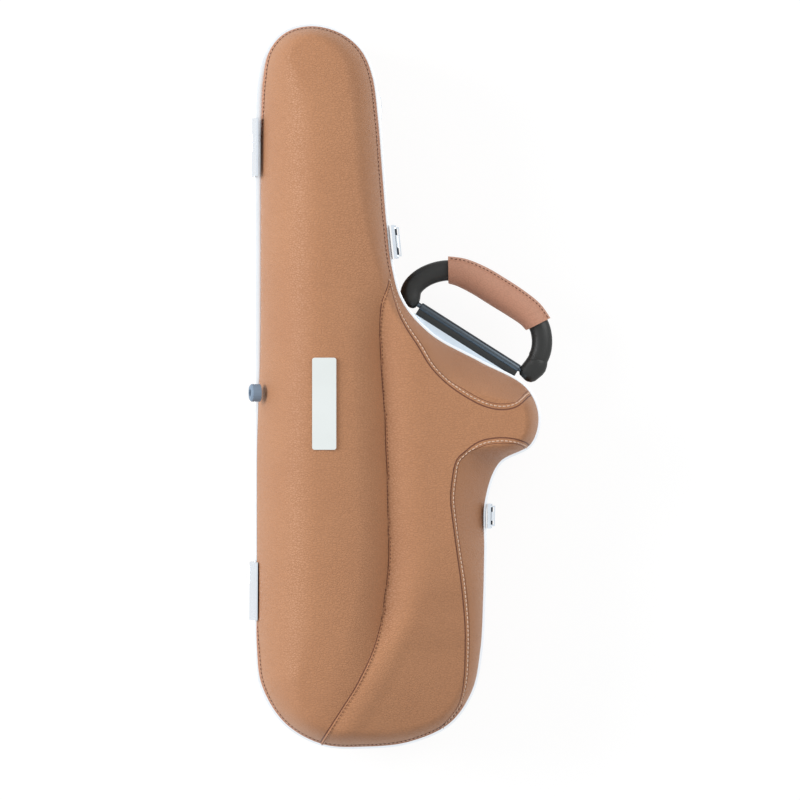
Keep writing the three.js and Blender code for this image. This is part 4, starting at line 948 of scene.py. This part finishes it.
# Leather grip: a padded sleeve whose ends flare into points on the outer side
grip = resample(handle_curve(GRIP), GRIP_STEP)
share = np.linspace(0, 1, len(grip))
ahead = unit(np.gradient(grip, axis=0))
outwards = np.cross(UP, ahead)
flare = GRIP_FLARE * (np.exp(-share * GRIP_FLARE_RATE) - np.exp(-(1 - share) * GRIP_FLARE_RATE))
fullness = GRIP_RADIUS + GRIP_SWELL * np.sin(np.pi * share) ** 0.7
points, faces = sweep(grip, circle(1, 48), scale=np.column_stack([fullness, fullness]))
around = points.reshape(len(grip), -1, 3)
outer = np.clip(((around - grip[:, None]) @ outwards[:, :, None])[..., 0] / fullness[:, None], -1, 1)
around = around - ahead[:, None] * (flare[:, None] * outer)[..., None]
handle_part("handle_wrap", (around.reshape(-1, 3), faces), "handle", "leather", grip_tan, ["handle_grip"])

# Folded edge of the grip with its stitches, along the outer side and turned towards the lid
fold_normals = outwards * math.cos(FOLD_TILT) + UP * math.sin(FOLD_TILT)
fold = grip + fold_normals * (fullness - FOLD_SINK)[:, None] - ahead * (flare * math.cos(FOLD_TILT))[:, None]
handle_part("grip_fold", ribbon(fold, fold_normals, GRIP_FOLD), "handle", "leather", grip_tan)
row = stitches(fold + fold_normals * FOLD_RISE, fold_normals, *GRIP_ROW)
handle_part("grip_stitches", row, "handle", "leather", brown)

# Bar that carries the handle, and the rod on it with its rounded ends
ends = np.array([0, 0.15, 0.5, 1])
ends = np.concatenate([BAR_START + ends, BAR_END - ends[::-1]])
line = np.column_stack([ends, np.zeros(8), np.zeros(8)])
radius = np.array([*ROD_RADII, *reversed(ROD_RADII)])
rod = sweep(line + [0, ROD_OUTWARDS, 0], circle(1, 28), scale=np.column_stack([radius, radius]))
handle_part("handle_rod", rod, "base", "gunmetal", steel)
bar = sweep(line, rounded(BAR_SECTION, BAR_ROUNDING))
handle_part("handle_bar", bar, "base", "gunmetal", black, ["handle_barrel"])


# Materials and softer edges on the solids that stay

EDGE_ANGLE = math.radians(28)


def dress(names, material, bevel, segments=2):
    for name in names:
        obj = bpy.data.objects.get(name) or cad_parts[name]
        obj.data.materials.clear()
        obj.data.materials.append(material)
        obj.data.polygons.foreach_set("use_smooth", [True] * len(obj.data.polygons))
        edge = obj.modifiers.new("edge", "BEVEL")
        edge.width = bevel * MM
        edge.segments = segments
        edge.limit_method = "ANGLE"
        edge.angle_limit = EDGE_ANGLE
        edge.harden_normals = True


for place in ("upper", "lower"):
    dress([f"hinge_{place}_{part}" for part in ("base_leaf", "lid_leaf", "pin")], bright, 0.25)
    dress([f"latch_{place}_{part}" for part in ("base_plate", "lever", "claw", "catch")], bright, 0.25)
    dress([f"latch_{place}_{part}" for part in ("lever_pin", "claw_pin")], steel, 0.2)
dress([f"strap_{side}_{part}" for side in ("left", "right") for part in ("bracket", "ring")], bright, 0.25)
dress(["lid_foot_screw", "base_foot_screw", "handle_axle"], steel, 0.2)
dress(["handle_saddle"], saddle_satin_with_painted_reflection, 0.3)
dress(["nameplate"], plate_satin, 0.3)
dress(["lid_foot", "base_foot"], grey_rubber, 0.6, 3)


# Shells, plush lining of the lid, and the cradle

SHELL_INSETS, PLUSH_INSETS = (1.9, 4.9), (5.3, 13.3)
PLUSH_DROP = LID_RIM - SEAM - 1.2


def closed_skin(half, insets, drop):
    """A skin between two insets, closed along its rim, which a drop moves past the half's own"""
    outer, inner = (half_grid(half, inset, *LINING_GRID) for inset in insets)
    for part in (outer, inner):
        part[:, [0, -1], 2] -= drop
    rows, columns = outer.shape[:2]
    points = np.concatenate([outer.reshape(-1, 3), inner.reshape(-1, 3)])
    base = rows * columns
    quads = np.concatenate([grid_faces(rows, columns), grid_faces(rows, columns, True) + base]).tolist()
    for i in range(rows - 1):
        for c in (0, columns - 1):
            a, b = i * columns + c, (i + 1) * columns + c
            quads.append([a, b, b + base, a + base] if c else [b, a, a + base, b + base])
    return points, quads


for half, body in ((LID, "lid"), (BASE, "base")):
    shell = closed_skin(half, SHELL_INSETS, 0)
    piece(f"{body}_hard_shell", *shell, body, "shell", shell_plastic, [f"{body}_shell"])
lining = closed_skin(LID, PLUSH_INSETS, PLUSH_DROP)
lid_plush = piece("lid_plush", *lining, "lid", "plush", plush, ["lid_lining"])

# Recesses of the cradle: the height of the floor and a closed plan shape
RECESSES = [
    (20, [[0.1, 0.19], [0.34, 0.19], [0.36, 0.34], [0.4, 0.44], [0.41, 0.72], [0.41, 0.93], [0.12, 0.93],
          [0.08, 0.6]]),
    (20, [[0.5, 0.53], [0.62, 0.5], [0.8, 0.53], [0.88, 0.56], [0.74, 0.62], [0.72, 0.9], [0.62, 0.93],
          [0.49, 0.93]]),
    (20, [[0.3, 0.8], [0.6, 0.8], [0.6, 0.93], [0.3, 0.93]]),
    (34, [[0.12, 0.06], [0.28, 0.06], [0.31, 0.16], [0.09, 0.16]]),
]
RECESS_RADIUS, RECESS_EDGE = 14.0, (3.0, -4.0)
CRADLE_TOP, CRADLE_EDGE_DROP = SEAM - 1.6, 2.5
CRADLE_ROWS, CRADLE_COLUMNS = 300, 110
SKIRT_MIDDLE, SKIRT_LEVELS = (-95, 40), ((12.0, 0), (30.0, 0.25))


def signed_gap(points, edge):
    """Distance to a closed plan shape, negative inside it"""
    gap = np.full(len(points), np.inf)
    for a, b in zip(edge, np.roll(edge, -1, 0)):
        line = b - a
        t = np.clip(((points - a) @ line) / (line @ line), 0, 1)
        gap = np.minimum(gap, np.linalg.norm(points - a - t[:, None] * line, axis=1))
    return np.where(inside_shape(points, edge), -gap, gap)


def cradle_top():
    """Rows of points over the foam's top, pressed down into rounded recesses"""
    places = np.linspace(0.02, COUNT / 2 - 0.02, CRADLE_ROWS)
    left, right = (at + inward * (BELT_INSIDE + GAP)
                   for at, _, inward in (outline_at(side, places) for side in (-1, 1)))
    share = np.linspace(0, 1, CRADLE_COLUMNS)[None, :, None]
    plan = (left[:, None] * (1 - share) + right[:, None] * share).reshape(-1, 2)
    z = np.full(len(plan), CRADLE_TOP)
    for floor, shares in RECESSES:
        gap = signed_gap(plan, rounded(plan_points(shares), RECESS_RADIUS, 6, 1))
        z = np.minimum(z, CRADLE_TOP + (floor - CRADLE_TOP) * smooth(*RECESS_EDGE, gap))
    z = z.reshape(CRADLE_ROWS, CRADLE_COLUMNS)
    z[:, [0, -1]] -= CRADLE_EDGE_DROP
    return np.column_stack([plan, z.reshape(-1)])


# The top's edge goes on down as a skirt, in two steps, drawn in towards the middle at the foot
top = cradle_top()
faces = grid_faces(CRADLE_ROWS, CRADLE_COLUMNS).tolist()
starts = [r * CRADLE_COLUMNS for r in range(CRADLE_ROWS)]
rim = starts + [start + CRADLE_COLUMNS - 1 for start in reversed(starts)]
skirt = []
for depth, pull in SKIRT_LEVELS:
    x, y, _ = top[rim].T
    x = x + (np.clip(x, *SKIRT_MIDDLE) - x) * pull
    skirt.append(np.column_stack([x, y, np.full(len(rim), SEAM - depth)]))
first, second = len(top), len(top) + len(rim)
for i in range(len(rim)):
    j = (i + 1) % len(rim)
    faces.append([rim[j], rim[i], first + i, first + j])
    faces.append([first + j, first + i, second + i, second + j])
points = np.concatenate([top, *skirt])
cradle = piece("cradle_plush", points, faces, "base", "plush", plush, ["instrument_cradle"])


# Floor, lights and camera, in metres

FLOOR_HALF, FLOOR_DEPTH, FLOOR_GLOW, FLOOR_GLOW_SHARE = 6.0, 0.0006, 1.06, 0.86
WORLD_LIGHT = 0.43
CAMERA_DISTANCE, PICTURE_WIDTH, PICTURE_MIDDLE, SENSOR = 8.0, 0.72, (0.0022, -0.0122), 36
LIGHTS_TARGET = 0, 0, 0.05


def seen_by(graph, *kinds):
    """1 for rays of any of the given kinds, such as the camera's own"""
    seen = 0.0
    for kind in kinds:
        seen = graph.math(graph.add("LightPath", output=f"Is {kind} Ray"), seen, "MAXIMUM")
    return seen


def floor_material():
    """A white floor that glows where it is seen directly, so that the picture's ground is white"""
    material, graph, shader = new_material("floor_white")
    graph.feed(shader, {"Base Color": (0.9, 0.9, 0.9, 1), "Roughness": 0.9})
    glow = graph.add("Emission", {"Color": (1, 1, 1, 1), "Strength": FLOOR_GLOW})
    share = graph.math(seen_by(graph, "Camera", "Glossy", "Transmission"), FLOOR_GLOW_SHARE, "MULTIPLY")
    mix = graph.add("MixShader", {0: share, 1: shader.outputs[0], 2: glow})
    graph.feed(graph.tree.nodes["Material Output"], {"Surface": mix})
    return material


def area_light(name, place, size, power, color=(1, 1, 1)):
    data = bpy.data.lights.new(name, "AREA")
    data.shape = "RECTANGLE"
    data.size, data.size_y = size, size
    data.energy = power
    data.color = color
    obj = bpy.data.objects.new(name, data)
    obj.location = place
    obj.rotation_euler = (Vector(LIGHTS_TARGET) - Vector(place)).to_track_quat("-Z", "Y").to_euler()
    bpy.context.scene.collection.objects.link(obj)


mesh = bpy.data.meshes.new("floor")
corners = [(x * FLOOR_HALF, y * FLOOR_HALF, -FLOOR_DEPTH) for x, y in ((-1, -1), (1, -1), (1, 1), (-1, 1))]
mesh.from_pydata(corners, [], [[0, 1, 2, 3]])
mesh.materials.append(floor_material())
floor = bpy.data.objects.new("floor", mesh)
bpy.context.scene.collection.objects.link(floor)

world = bpy.data.worlds.new("studio")
bpy.context.scene.world = world
world.use_nodes = True
graph = Graph(world.node_tree)
level = graph.mapped(seen_by(graph, "Camera", "Glossy"), WORLD_LIGHT, 1)
graph.feed(graph.tree.nodes["Background"], {"Color": (1, 1, 1, 1), "Strength": level})

area_light("key", (-2.5, 0.5, 1.8), 1.6, 70, (0.98, 1.0, 1.03))
area_light("fill", (2.0, 1.4, 2.2), 2.0, 33)

lens = bpy.data.cameras.new("camera")
lens.sensor_width = SENSOR
lens.lens = SENSOR * CAMERA_DISTANCE / PICTURE_WIDTH
lens.clip_end = 50
camera = bpy.data.objects.new("camera", lens)
camera.location = (*PICTURE_MIDDLE, SEAM * MM + CAMERA_DISTANCE)
bpy.context.scene.collection.objects.link(camera)
bpy.context.scene.camera = camera
bpy.context.scene.view_settings.view_transform = "Standard"
